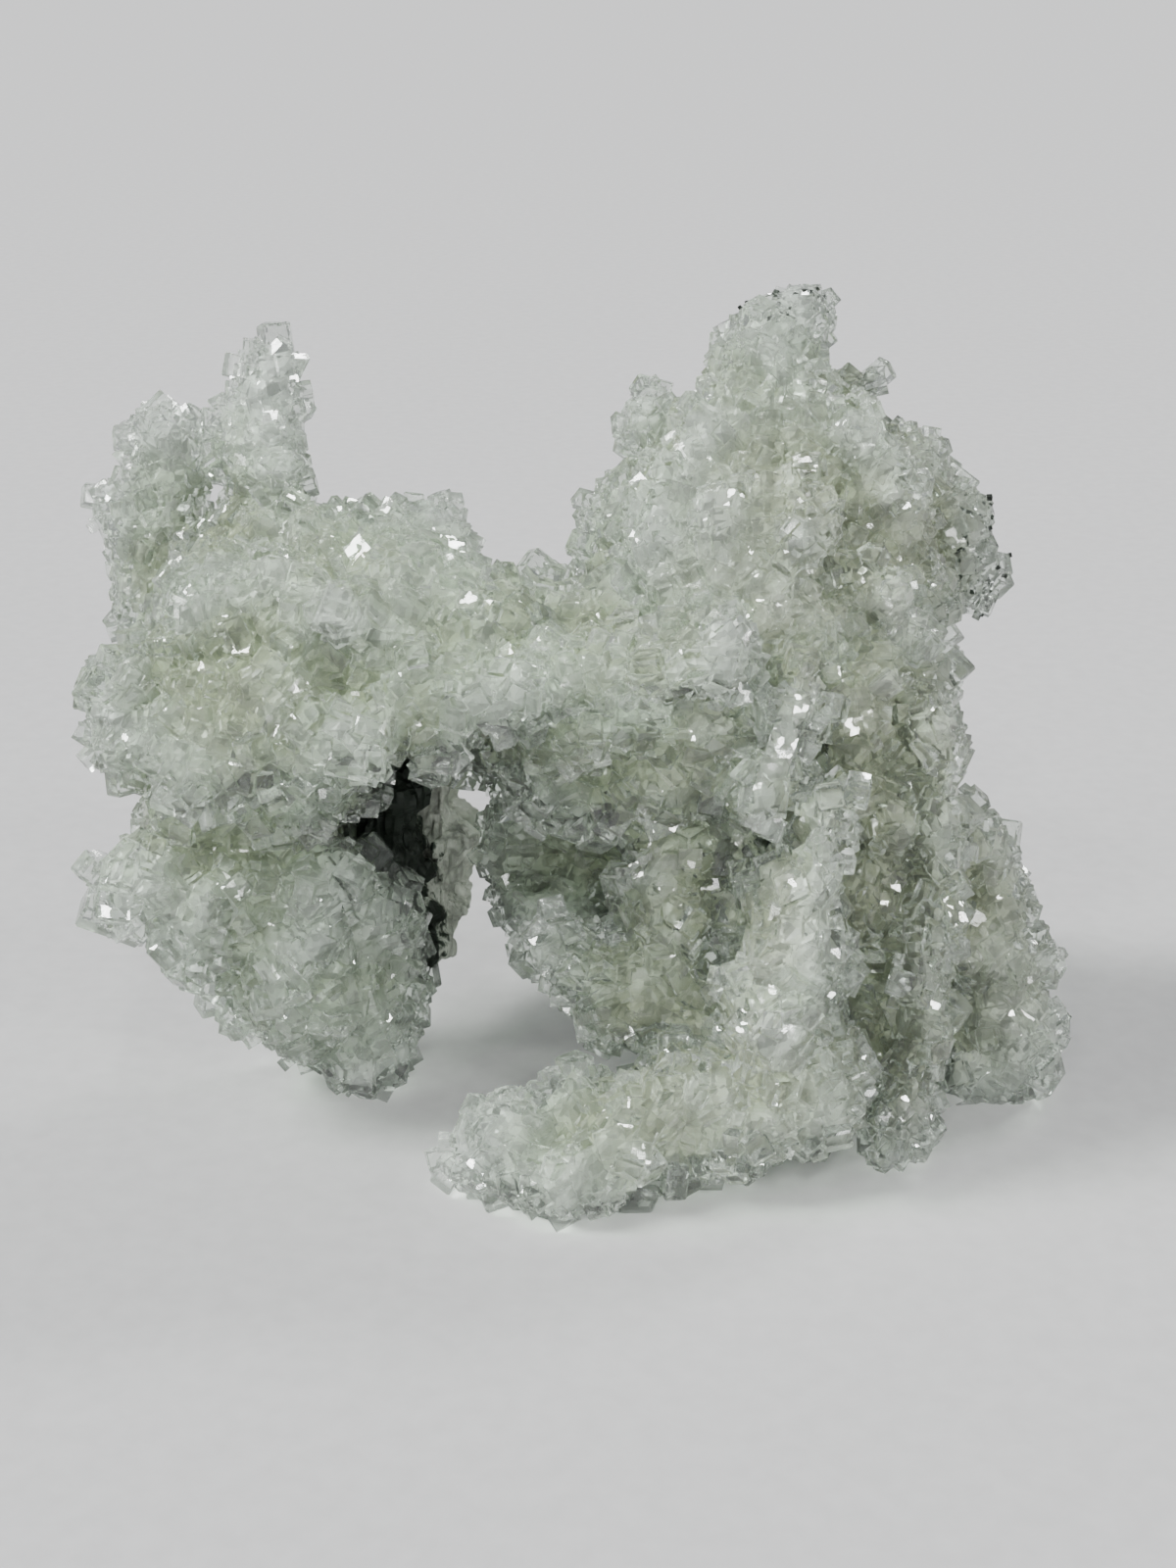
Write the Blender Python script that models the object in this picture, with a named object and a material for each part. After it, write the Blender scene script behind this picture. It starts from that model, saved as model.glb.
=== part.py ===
"""A prehnite specimen: pale green casts of vanished crystals, grown together in one branching mass.

Every limb is a lumpy bar carried along a short path, with blocky crystals fused to it.
Limbs that grew as one are joined in one solid, and the mass is parted at its main forks
by a hair-thin joint. The feet are cut flat, so that the specimen rests on them.

A bar is a list of sections in millimetres and the direction of its depth. A section is
(x, y, z, half width across the path, half depth). The meshes are in metres, with +Z up
and the specimen's best face towards -Y.
"""

import math

import bmesh
import bpy
import numpy as np
from mathutils import Matrix, Vector
from mathutils.bvhtree import BVHTree

MM = 0.001
SEED = 23

JOINT_GAP = 0.3 * MM  # clear space between two neighbouring solids
CRUST_INSET = 0.1 * MM  # how far a bar's surface lies inside the reach of its crystals
RING_STEP = 4 * MM  # distance between two rings of a bar
RING_SIDES = 10
END_ROUNDING = 0.85  # length of a rounded end, as a share of the half size there
LUMPINESS = 0.13  # how far the corners of a ring stray from its outline
SQUARENESS = 2.4  # exponent of the outline: 2 is an ellipse, more is boxier
PATH_SAMPLES = 48
SKIN_CELL = 1 * MM  # cell of the skin that joins the bars of a limb
FORK_SOFTENING = 6  # smoothing steps that round the forks between bars
SPIKE_EASING = 0.5  # how far a spike is drawn back in one round
FACET_AREA = 16 * MM * MM  # mean area of a facet of that skin
SHARPEST_CORNER = 0.45  # a corner whose facets turn further than this cosine is a spike
SPIKE_ROUNDS = 24

PREHNITE_COLOUR = (0.48, 0.56, 0.49)  # milky pale green
RECESS_COLOUR = (0.36, 0.45, 0.31)  # greener, where the mass is thick and sheltered
PREHNITE_ROUGHNESS = 0.3
MATRIX_COLOUR = (0.03, 0.035, 0.03)  # near black green rock
MATRIX_ROUGHNESS = 0.75

CRYSTAL_HALF = (1.4 * MM, 2.5 * MM)  # smallest and largest half edge of a crystal
CRYSTAL_FLATNESS = (0.55, 0.95)  # width and height of a crystal as shares of its edge
CRYSTAL_DEPTH = 0.9
CRYSTAL_LEAN = 0.33  # how far its axis strays from the surface normal, as a tangent
CRYSTAL_SINK = 0.3  # how deep its middle lies under the surface, as a share of the half edge
CRYSTAL_SPACING = 1.2  # least distance of two crystals, as a share of their half edges added
CRYSTAL_REACH = 1.65  # from the middle to a corner, as a share of the half edge
AREA_PER_CRYSTAL = 160 * MM * MM
TRIES_PER_CRYSTAL = 25

FLOOR_BLOCK = 0.2  # edge of the block that cuts the feet flat
BLOCK_CORNERS = np.array([(x, y, z) for z in (-1, 1) for y in (-1, 1) for x in (-1, 1)], float)
BLOCK_FACES = [(0, 2, 3, 1), (4, 5, 7, 6), (0, 1, 5, 4), (2, 6, 7, 3), (0, 4, 6, 2), (1, 3, 7, 5)]

BACKWARD = (0, 1, 0)
LEANING_BACK = (0, 1, 0.3)
UP_AND_BACK = (0, 1, 0.4)
TURNED = (0.3, 1, 0)


def tall_fan():
    """The two thin blades at the upper left, on their shoulder."""
    right_blade = [(-33, 5, 57, 6.2, 5), (-33.2, 7, 65, 5.8, 4.5), (-32, 8, 70.5, 5.8, 4), (-32.6, 8, 75, 4, 3)]
    left_blade = [(-43, 6, 47, 5, 5), (-44.5, 8, 53, 5.6, 5), (-43.8, 9, 59.5, 6.4, 5), (-42, 9, 65.8, 4, 3.5)]
    shoulder = [(-35, 2, 54.5, 6.5, 8), (-24, 1, 53, 9, 10), (-16, 3, 52.5, 7.5, 9)]
    shoulder_back = [(-39, 14, 49, 6, 7), (-27, 18, 49, 6.5, 8), (-17, 16, 47, 5.5, 8)]
    return [
        (right_blade, BACKWARD),
        (left_blade, TURNED),
        (shoulder, UP_AND_BACK),
        (shoulder_back, BACKWARD),
    ]


def left_roll():
    """The thick rolled bar that runs from the left tip to the middle, with the brow and breast above it."""
    front = [
        (-40.5, -6, 41, 6.4, 8), (-34.5, -8, 42, 7.2, 9), (-25.5, -10, 43.5, 6.8, 9),
        (-16, -8.5, 45, 6.2, 9), (-7.5, -6, 47, 5, 9),
    ]
    tip = [(-44, -3, 45.5, 4.6, 7), (-46, -6, 41, 3.8, 6), (-44.5, -7, 37, 3.6, 6)]
    brow = [(-37, -3, 50, 6, 8), (-28, -5, 51.5, 8.2, 9), (-18, -4, 51.5, 8, 9), (-9, -3, 50, 5.5, 8)]
    breast = [(-39, -2, 45, 6, 8.5), (-30, -3.5, 46, 7, 11), (-20, -4, 47, 7, 11), (-11, -4, 48, 6, 9)]
    back = [(-43, 8, 38, 7, 9), (-28, 12, 36.5, 8.5, 10), (-15.5, 12, 41, 6, 9)]
    return [(front, LEANING_BACK), (tip, BACKWARD), (brow, BACKWARD), (breast, BACKWARD), (back, BACKWARD)]


def left_pod():
    """The pod at the lower left, which ends in the left foot."""
    nub = [(-48, -8, 27, 3.4, 5), (-42.5, -8, 25, 6.8, 7), (-36, -6, 23, 8.6, 8)]
    neck = [(-33, 2, 37, 9, 9), (-34.5, -1, 28, 10, 10)]
    belly = [(-36, -2, 25.5, 9.8, 10), (-29.2, -2, 17, 12.2, 11), (-24.3, -1, 5.8, 8.4, 8)]
    cap = [(-33.5, -8, 14, 5.4, 6), (-25, -6, 9, 5.4, 6)]
    throat = [(-41, -5, 32.5, 4.6, 6), (-32, -6, 33.5, 5.6, 7.5), (-24, -4, 34.5, 4.6, 6.5)]
    return [(bar, BACKWARD) for bar in (nub, neck, belly, cap, throat)]


def saddle():
    """The bridge between the left shoulder and the tower, with the shelf in front of it."""
    bridge = [(-17, 4, 46, 7, 9), (-8, 5, 46, 5.2, 9), (2, 4, 47, 7, 10)]
    shelf = [(-4, -6.5, 47, 4.6, 7), (4, -8, 47.5, 5.2, 8), (12, -8, 49, 4.8, 8)]
    return [(bridge, LEANING_BACK), (shelf, BACKWARD)]


def tower():
    """The tall peak at the upper right, with the plates on its left edge and the lobe on its right."""
    body = [
        (17, 6, 45, 14.5, 14), (16, 9, 54.5, 14.5, 14), (17.5, 12, 64, 11.3, 11),
        (19, 13, 71.5, 7.2, 8), (20.5, 14, 76, 3.6, 5),
    ]
    left_plate = [(6.4, 14, 66.8, 4.8, 5), (8.5, 12, 63, 5.2, 6)]
    left_slope = [(2.5, 14, 52, 4.6, 7), (6, 13, 57.5, 5.4, 7)]
    top = [(13.5, 14, 72.5, 3, 4), (21, 15, 77, 3.2, 4)]
    nub = [(25, 14, 70, 3, 4), (29, 15, 71, 2.2, 3)]
    lobe = [(28, 14, 63, 5.2, 6), (34, 17, 57, 7.4, 8), (37.4, 18, 50.5, 6.2, 8)]
    brow = [(19, 0, 59, 3.2, 6), (26, 2, 55.5, 4.2, 7), (30.5, 2, 48.5, 4.8, 8)]
    back = [(20, 24, 50, 9, 7), (21, 23, 60, 9, 7), (21, 20, 68, 6, 6)]
    flank = [(25, 9, 66, 5.5, 8), (29, 9, 58, 6.5, 9), (31.5, 9, 50, 6, 9)]
    bars = (body, left_plate, left_slope, top, nub, lobe, brow, back, flank)
    return [(bar, BACKWARD) for bar in bars]


def columns():
    """The bundle of upright bars under the tower, which ends in the right foot."""
    ridge = [(21, -5.5, 48.5, 3.2, 6), (18.5, -8.2, 42, 3.8, 6.8), (16.5, -11, 36, 4, 7)]
    wall = [
        (25.5, 4, 48, 9, 9), (28, 2, 36, 9.2, 9), (29.5, 0, 21.5, 8.5, 9),
        (30.5, -4, 10, 7, 9), (30, -8, 3, 5.6, 8),
    ]
    wall_back = [(28, 15, 44, 6.5, 8), (31, 12, 30, 6.5, 7), (33.5, 8, 16, 6, 7)]
    wall_front = [(26, -3, 44, 6, 7), (27.5, -5.5, 33, 6, 7.5), (28, -7, 20, 5.5, 7.5)]
    right_bar = [
        (31.5, 2, 46.5, 3, 6), (34.5, -4, 39.5, 3.4, 6), (34.5, -8, 31.5, 3.8, 6),
        (33.5, -10, 20.5, 3.8, 6), (33, -12, 12, 3.8, 6), (31, -18.5, 2.5, 4, 6),
    ]
    front_bar = [(22, -15, 34, 3.6, 6), (20, -16, 27, 5, 7), (19, -17, 20, 6.3, 8)]
    bars = (ridge, wall, wall_back, wall_front, right_bar, front_bar)
    return [(bar, BACKWARD) for bar in bars]


def front_finger():
    """The bar that reaches forward and to the left, on the front foot."""
    finger = [
        (-9, -26.5, 4.5, 5.2, 7), (-2, -25, 4.5, 6.2, 8), (7.5, -23, 7, 6, 8),
        (18, -21, 8, 6.4, 8), (22.5, -19, 8, 6, 8),
    ]
    knuckle = [(18.5, -20, 17, 6.4, 8.5), (19, -20, 10, 7, 9)]
    return [(finger, BACKWARD), (knuckle, BACKWARD)]


def right_wing():
    """The thin upright blade at the lower right."""
    blade = [(39.5, 2, 27, 5, 5), (40.4, 0, 18, 6.2, 6), (43.3, -2, 10, 7.8, 6), (42, -4, 2.5, 6.8, 6)]
    tip = [(44, -2, 10, 4.4, 5), (48.6, -4, 8, 3.4, 4)]
    root = [(36, 2, 17, 4, 6), (41, 0, 13, 4, 6)]
    return [(blade, TURNED), (tip, TURNED), (root, BACKWARD)]


def middle_lobe():
    """The curtain that hangs under the saddle, its veil in front and the lobe at its lower end."""
    curtain = [(7, 0, 41, 7, 7), (8, -2, 33, 7, 7), (9, -6, 25.5, 6.5, 7), (8, -9, 19, 6, 7)]
    veil = [(-7, -1, 39, 6, 7), (0, -4, 38.5, 7.5, 8.5), (8, -5.5, 38, 7.5, 8.5), (14, -6, 37.5, 6, 7)]
    lobe = [(-3.5, -12, 18.5, 4.4, 6), (4, -12, 15, 6, 7), (11, -13, 13.5, 5.2, 7)]
    return [(curtain, BACKWARD), (lobe, BACKWARD), (veil, BACKWARD)]


def cave_wall():
    """The wall at the back of the cave between the pod and the columns."""
    wall = [(-9.5, 7, 21.5, 5, 5), (-3, 7, 23.5, 8, 6), (6.5, 6, 24, 8.5, 7), (18, 6, 25, 7, 7)]
    hanger = [(-7, 7, 42, 9, 6), (-5.5, 7.5, 31, 8.5, 5)]
    fringe = [(-8, 5, 17.5, 4, 5), (0, 3.5, 15.5, 4, 5)]
    return [(wall, BACKWARD), (hanger, BACKWARD), (fringe, BACKWARD)]


def rear_blade():
    """The broad blade behind the tower, which ends in the rear foot."""
    blade = [(17, 24, 44, 9, 6), (14, 28, 31, 10, 5.5), (10, 30, 16, 9, 5.5), (8, 31, 3, 7, 5.5)]
    rib = [(2, 21, 30, 5, 6), (9, 25, 27, 6, 6)]
    return [(blade, BACKWARD), (rib, BACKWARD)]


def matrix_remnant():
    """The fibrous rock left between the pod and the cave, and the bleached patch beside it."""
    sliver = [(-21.5, 5, 31, 3.6, 6), (-20.5, 5, 22, 3.8, 6), (-17.5, 6, 12.5, 2.6, 5)]
    patch = [(-17, 9, 31, 3.6, 4), (-16, 8.5, 23, 3.6, 4), (-16, 8, 14, 2.6, 4)]
    return [(sliver, BACKWARD), (patch, BACKWARD)]


# Where two limbs meet, the one that comes later is cut back by the earlier one.
LIMBS = (
    front_finger, columns, left_roll, tall_fan, tower, saddle, middle_lobe,
    left_pod, right_wing, cave_wall, rear_blade, matrix_remnant,
)
BARE_LIMBS = (matrix_remnant,)
RECESSED_LIMBS = (cave_wall, middle_lobe)


def smooth_path(sections):
    """A Catmull-Rom curve through the sections, position and half sizes alike, in metres."""
    points = np.array(sections, float) * MM
    points[:, 3:] -= CRUST_INSET
    spans = len(points) - 1
    guides = np.vstack([2 * points[0] - points[1], points, 2 * points[-1] - points[-2]])
    t = np.linspace(0, spans, PATH_SAMPLES)
    span = np.minimum(t.astype(int), spans - 1)
    f = (t - span)[:, None]
    a, b, c, d = (guides[span + i] for i in range(4))
    square, cube = 2 * a - 5 * b + 4 * c - d, 3 * b - a - 3 * c + d
    return 0.5 * (2 * b + (c - a) * f + square * f**2 + cube * f**3)


def unit(vectors):
    return vectors / np.linalg.norm(vectors, axis=-1, keepdims=True)


def bar_rings(sections, depth_axis, rng):
    """The rings of a bar, as an array (ring, corner, xyz), and the two points that close it."""
    path = smooth_path(sections)
    steps = np.linalg.norm(np.diff(path[:, :3], axis=0), axis=1)
    along = np.concatenate([[0], np.cumsum(steps)])
    length = along[-1]
    start_cap = END_ROUNDING * path[0, 3:].mean()
    end_cap = END_ROUNDING * path[-1, 3:].mean()
    inner = max(2, round(length / RING_STEP) + 1)
    halfway = math.sqrt(0.5)  # the one ring of a rounded end stands at 45 degrees of its arc
    start, end = -start_cap * halfway, length + end_cap * halfway
    stations = np.concatenate([[start], np.linspace(0, length, inner), [end]])
    shrink = np.concatenate([[halfway], np.ones(inner), [halfway]])
    nearest = np.clip(stations, 0, length)
    here = np.stack([np.interp(nearest, along, path[:, k]) for k in range(5)], axis=1)
    slopes = unit(np.gradient(path[:, :3], axis=0))
    tangent = unit(np.stack([np.interp(nearest, along, slopes[:, k]) for k in range(3)], axis=1))
    centre = here[:, :3] + tangent * (stations - nearest)[:, None]
    depth = np.array(depth_axis, float)
    depth = unit(depth - (tangent @ depth)[:, None] * tangent)
    across = np.cross(tangent, depth)
    angle = np.linspace(0, 2 * math.pi, RING_SIDES, endpoint=False)
    cosine, sine = np.cos(angle), np.sin(angle)
    radius = (np.abs(cosine) ** SQUARENESS + np.abs(sine) ** SQUARENESS) ** (-1 / SQUARENESS)
    radius = radius * (1 + LUMPINESS * rng.uniform(-1, 1, (len(stations), RING_SIDES)))
    half = here[:, 3:] * shrink[:, None]
    rings = (
        centre[:, None]
        + across[:, None] * (half[:, :1] * radius * cosine)[..., None]
        + depth[:, None] * (half[:, 1:] * radius * sine)[..., None]
    )
    ends = (
        here[0, :3] - tangent[0] * start_cap,
        here[-1, :3] + tangent[-1] * end_cap,
    )
    return rings, ends


def bar_mesh(bar, seed):
    """Points and faces of one closed bar."""
    rings, ends = bar_rings(*bar, np.random.default_rng(seed))
    count, sides = rings.shape[:2]
    points = np.vstack([rings.reshape(-1, 3), *ends])
    start, end = count * sides, count * sides + 1
    faces = []
    for corner in range(sides):
        following = (corner + 1) % sides
        for ring in range(count - 1):
            low, high = ring * sides, (ring + 1) * sides
            faces.append((low + corner, low + following, high + following, high + corner))
        faces.append((start, following, corner))
        faces.append((end, (count - 1) * sides + corner, (count - 1) * sides + following))
    return points, faces


def joined(pieces):
    """Several point and face lists as one."""
    points, faces, offset = [], [], 0
    for piece_points, piece_faces in pieces:
        points.append(piece_points)
        faces.extend(tuple(index + offset for index in face) for face in piece_faces)
        offset += len(piece_points)
    return np.vstack(points), faces


def new_object(name, points, faces):
    """An object in the scene with its faces turned outwards."""
    mesh = bpy.data.meshes.new(name)
    mesh.from_pydata([tuple(point) for point in points], [], faces)
    work = bmesh.new()
    work.from_mesh(mesh)
    bmesh.ops.recalc_face_normals(work, faces=work.faces)
    work.to_mesh(mesh)
    work.free()
    obj = bpy.data.objects.new(name, mesh)
    bpy.context.scene.collection.objects.link(obj)
    return obj


def combine(obj, operation, points, faces):
    """Joins a closed shape to the object or cuts it away, and keeps only the largest body."""
    tool = new_object("tool", points, faces)
    boolean = obj.modifiers.new(operation.lower(), "BOOLEAN")
    boolean.operation = operation
    boolean.solver = "EXACT"
    boolean.use_self = True
    boolean.object = tool
    apply_modifiers(obj)
    bpy.data.objects.remove(tool)
    keep_largest_body(obj)


def keep_largest_body(obj):
    """Drops the crumbs and sealed hollows that a cut leaves, which share no edge with the rest."""
    work = bmesh.new()
    work.from_mesh(obj.data)
    unseen = set(work.faces)
    islands = []
    while unseen:
        island = [unseen.pop()]
        for face in island:
            for edge in face.edges:
                found = [other for other in edge.link_faces if other in unseen]
                unseen.difference_update(found)
                island.extend(found)
        islands.append(island)
    largest = set(max(islands, key=len))
    bmesh.ops.delete(work, geom=[face for face in work.faces if face not in largest], context="FACES")
    work.to_mesh(obj.data)
    work.free()


def triangles_of(obj):
    """The corners of the object's triangles, as an array (triangle, corner, xyz)."""
    mesh = obj.data
    mesh.calc_loop_triangles()
    points = np.array([vertex.co[:] for vertex in mesh.vertices])
    return points[np.array([triangle.vertices[:] for triangle in mesh.loop_triangles])]


def areas_of(corners):
    cross = np.cross(corners[:, 1] - corners[:, 0], corners[:, 2] - corners[:, 0])
    return np.linalg.norm(cross, axis=1) / 2


def tree_of(obj):
    corners = triangles_of(obj)
    faces = np.arange(len(corners) * 3).reshape(-1, 3).tolist()
    return BVHTree.FromPolygons(corners.reshape(-1, 3).tolist(), faces)


def crystal_spots(corners, other_trees, other_spots, rng):
    """Places for crystals, spread over the triangles, as (middle, normal, half edge)."""
    cross = np.cross(corners[:, 1] - corners[:, 0], corners[:, 2] - corners[:, 0])
    area = areas_of(corners)
    wanted = round(area.sum() / AREA_PER_CRYSTAL)
    tries = wanted * TRIES_PER_CRYSTAL
    chosen = rng.choice(len(area), tries, p=area / area.sum())
    weights = rng.dirichlet((1, 1, 1), tries)
    points = (weights[:, :, None] * corners[chosen]).sum(axis=1)
    normals = unit(cross[chosen])
    halves = rng.uniform(*CRYSTAL_HALF, tries)
    spots = []
    for point, normal, half in zip(points, normals, halves):
        middle = point - normal * half * CRYSTAL_SINK
        reach = half * CRYSTAL_REACH
        if middle[2] < reach + JOINT_GAP:
            continue
        if any(tree.find_nearest(Vector(middle), reach + JOINT_GAP)[0] for tree in other_trees):
            continue
        if any(np.linalg.norm(middle - m) < (half + h) * CRYSTAL_SPACING for m, _, h in spots):
            continue
        if any(np.linalg.norm(middle - m) < reach + h * CRYSTAL_REACH + JOINT_GAP for m, _, h in other_spots):
            continue
        spots.append((middle, normal, half))
        if len(spots) == wanted:
            break
    return spots


def crystal_mesh(middle, normal, half, rng):
    """A block with square faces, turned at random about the surface normal and leaning a little."""
    upward = unit(normal + CRYSTAL_LEAN * rng.uniform(-1, 1, 3))
    sideways = unit(np.cross(upward, rng.normal(size=3)))
    third = np.cross(upward, sideways)
    flatness = rng.uniform(*CRYSTAL_FLATNESS, 2)
    corners = BLOCK_CORNERS * half * np.array([flatness[0], CRYSTAL_DEPTH, flatness[1]])
    points = middle + corners @ np.array([sideways, third, upward])
    return points, BLOCK_FACES


def floor_block():
    """The block under the ground that cuts the feet flat."""
    points = np.array([0, 0, -FLOOR_BLOCK / 2]) + BLOCK_CORNERS * FLOOR_BLOCK / 2
    return points, BLOCK_FACES


def apply_modifiers(obj):
    graph = bpy.context.evaluated_depsgraph_get()
    obj.data = bpy.data.meshes.new_from_object(obj.evaluated_get(graph))
    obj.modifiers.clear()


def fused_bars(limb):
    """The bars of a limb grown into one skin, with few large facets."""
    first = SEED + 100 * LIMBS.index(limb)
    bars = [bar_mesh(bar, first + number) for number, bar in enumerate(limb())]
    obj = new_object(limb.__name__, *joined(bars))
    remesh = obj.modifiers.new("grow_together", "REMESH")
    remesh.mode = "VOXEL"
    remesh.voxel_size = SKIN_CELL
    soften = obj.modifiers.new("soften_forks", "SMOOTH")
    soften.iterations = FORK_SOFTENING
    apply_modifiers(obj)
    keep_largest_body(obj)
    corners = triangles_of(obj)
    facets = obj.modifiers.new("facets", "DECIMATE")
    facets.ratio = areas_of(corners).sum() / FACET_AREA / len(corners)
    apply_modifiers(obj)
    relax_spikes(obj)
    return obj


def steepest_facet(vertex):
    """The least cosine between the vertex normal and the normals of its facets."""
    return min(vertex.normal.dot(face.normal) for face in vertex.link_faces)


def relax_spikes(obj):
    """Eases the corners that stand out as needles, and the corners next to them."""
    work = bmesh.new()
    work.from_mesh(obj.data)
    for _ in range(SPIKE_ROUNDS):
        work.normal_update()
        spikes = [vertex for vertex in work.verts if steepest_facet(vertex) < SHARPEST_CORNER]
        eased = {edge.other_vert(vertex) for vertex in spikes for edge in vertex.link_edges}.union(spikes)
        bmesh.ops.smooth_vert(
            work, verts=sorted(eased, key=lambda vertex: vertex.index), factor=SPIKE_EASING,
            use_axis_x=True, use_axis_y=True, use_axis_z=True,
        )
    work.to_mesh(obj.data)
    work.free()


def shell_round(obj):
    """The points and faces of the body, with every facet moved outwards by the joint gap."""
    work = bmesh.new()
    work.from_mesh(obj.data)
    work.normal_update()
    points = [
        vertex.co + vertex.normal * JOINT_GAP / max(steepest_facet(vertex), SHARPEST_CORNER)
        for vertex in work.verts
    ]
    faces = [tuple(vertex.index for vertex in face.verts) for face in work.faces]
    work.free()
    return np.array(points), faces


def boxes_meet(first, second):
    """Whether the boxes round two sets of points overlap."""
    low = np.maximum(first.min(axis=0), second.min(axis=0))
    high = np.minimum(first.max(axis=0), second.max(axis=0))
    return bool((low < high).all())


def limb_body(limb, shells):
    """A limb, cut back where an earlier one stands, with a flat foot if it reaches the ground."""
    obj = fused_bars(limb)
    shells.append(shell_round(obj))
    for shell in shells[:-1]:
        if boxes_meet(shell[0], shells[-1][0]):
            combine(obj, "DIFFERENCE", *shell)
    if min(vertex.co.z for vertex in obj.data.vertices) < 0:
        combine(obj, "DIFFERENCE", *floor_block())
    return obj


def add_crystals(bodies, bare_bodies):
    """Fuses crystals to every body, clear of the other bodies and of their crystals."""
    trees = {obj: tree_of(obj) for obj in bodies + bare_bodies}
    placed = {}
    for number, obj in enumerate(bodies):
        rng = np.random.default_rng(SEED + number)
        other_trees = [tree for other, tree in trees.items() if other is not obj]
        other_spots = [spot for spots in placed.values() for spot in spots]
        placed[obj] = crystal_spots(triangles_of(obj), other_trees, other_spots, rng)
        combine(obj, "UNION", *joined(crystal_mesh(*spot, rng) for spot in placed[obj]))


def centre_on_origin(objects):
    """Moves the whole specimen so that its box stands centred over the origin."""
    corners = np.array([vertex.co[:] for obj in objects for vertex in obj.data.vertices])
    middle = (corners.min(axis=0) + corners.max(axis=0)) / 2
    for obj in objects:
        obj.data.transform(Matrix.Translation((-middle[0], -middle[1], 0)))


def give_material(obj, colour, roughness):
    """A material of the object's own."""
    material = bpy.data.materials.new(obj.name)
    material.use_nodes = True
    shader = material.node_tree.nodes["Principled BSDF"]
    shader.inputs["Base Color"].default_value = (*colour, 1)
    shader.inputs["Roughness"].default_value = roughness
    shader.inputs["Metallic"].default_value = 0
    obj.data.materials.clear()
    obj.data.materials.append(material)


def main():
    for obj in list(bpy.data.objects):
        bpy.data.objects.remove(obj)
    shells = []
    bodies = {limb: limb_body(limb, shells) for limb in LIMBS}
    crusted = [body for limb, body in bodies.items() if limb not in BARE_LIMBS]
    add_crystals(crusted, [bodies[limb] for limb in BARE_LIMBS])
    centre_on_origin(list(bodies.values()))
    for limb, body in bodies.items():
        if limb in BARE_LIMBS:
            give_material(body, MATRIX_COLOUR, MATRIX_ROUGHNESS)
        elif limb in RECESSED_LIMBS:
            give_material(body, RECESS_COLOUR, PREHNITE_ROUGHNESS)
        else:
            give_material(body, PREHNITE_COLOUR, PREHNITE_ROUGHNESS)


if __name__ == "__main__":
    main()
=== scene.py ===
"""A prehnite specimen for display: translucent, pale green, and crusted all over with glassy blocks.

The specimen is a mass of casts round crystals that have since dissolved. Each limb is worked
out with numpy from the same bars as its solid: a profile carried along a path. A milky core
follows those bars, and a clear crust round it carries a few thousand blocky crystals, fused
together. The crust and the core stand for the limb's solid. A remnant of dark rock lies in the mass.

A section of a bar is (x, y, z, half width across the path, half depth), in millimetres.
"""

import math
from functools import lru_cache

import bmesh
import bpy
import numpy as np
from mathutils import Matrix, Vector
from mathutils.kdtree import KDTree


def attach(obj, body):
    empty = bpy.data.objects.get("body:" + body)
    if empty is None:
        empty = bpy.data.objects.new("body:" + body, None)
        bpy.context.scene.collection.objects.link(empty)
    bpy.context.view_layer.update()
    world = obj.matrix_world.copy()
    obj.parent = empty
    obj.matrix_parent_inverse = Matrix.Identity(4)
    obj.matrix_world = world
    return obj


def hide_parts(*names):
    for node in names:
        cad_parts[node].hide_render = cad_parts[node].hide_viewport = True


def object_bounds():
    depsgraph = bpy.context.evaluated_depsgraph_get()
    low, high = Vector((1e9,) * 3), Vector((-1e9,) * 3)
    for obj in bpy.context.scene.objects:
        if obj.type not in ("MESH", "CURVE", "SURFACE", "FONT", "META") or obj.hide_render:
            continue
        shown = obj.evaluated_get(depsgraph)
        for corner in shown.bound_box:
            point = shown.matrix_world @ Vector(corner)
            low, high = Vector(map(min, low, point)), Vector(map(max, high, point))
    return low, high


bl_info = {
    "name": "Prehnite specimen",
    "version": (1, 0, 0),
    "blender": (4, 5, 0),
    "location": "3D View > Sidebar > Prehnite",
    "description": "Grows a crystal-crusted prehnite specimen with a remnant of its matrix",
    "category": "Add Mesh",
}

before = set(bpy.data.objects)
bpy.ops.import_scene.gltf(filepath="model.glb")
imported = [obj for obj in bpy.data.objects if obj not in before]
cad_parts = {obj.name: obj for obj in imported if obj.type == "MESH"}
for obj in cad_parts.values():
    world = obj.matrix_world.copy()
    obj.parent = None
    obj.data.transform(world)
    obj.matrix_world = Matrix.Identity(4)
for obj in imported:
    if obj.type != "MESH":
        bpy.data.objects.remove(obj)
SOLID_BOX = np.array(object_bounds())

MM = 0.001
SHIFT = (0.87062, -1.75565, 0.0)  # millimetres from the bars' own origin to the frame's
SEED = 5
SKIN_SEED_STEP = 10  # between the seeds of two limbs' lumps
ROCK_SEED = 300

PATH_SAMPLES = 60  # along a bar
SQUARENESS = 2.4  # exponent of a bar's outline: 2 is an ellipse, more is boxier
END_ROUNDING = 0.85  # length of a bar's rounded end, as a share of its half size there
CAP_RINGS = 4
CAP_OPENING = 0.12  # radians from a rounded end's tip to its first ring
FEWEST_RINGS = 3
BAR_SIDES = 40
SKIN_CELL = 0.9 * MM  # cell of the skin that joins the bars of a limb
SKIN_SOFTENING = 4  # rounds of smoothing at the forks
LUMPS = ((9 * MM, 0.9 * MM), (3.6 * MM, 0.45 * MM))  # wavelength and height of a skin's lumps
THINNEST_CRUST = 0.45  # least share of a bar's half size that is left to the crust's skin
THINNEST_CORE = 0.3  # and to the core
RIPPLE_WAVES = 18
RIPPLE_SPREAD = (0.7, 1.4)  # of a ripple's wave numbers, as shares of the usual one

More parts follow.
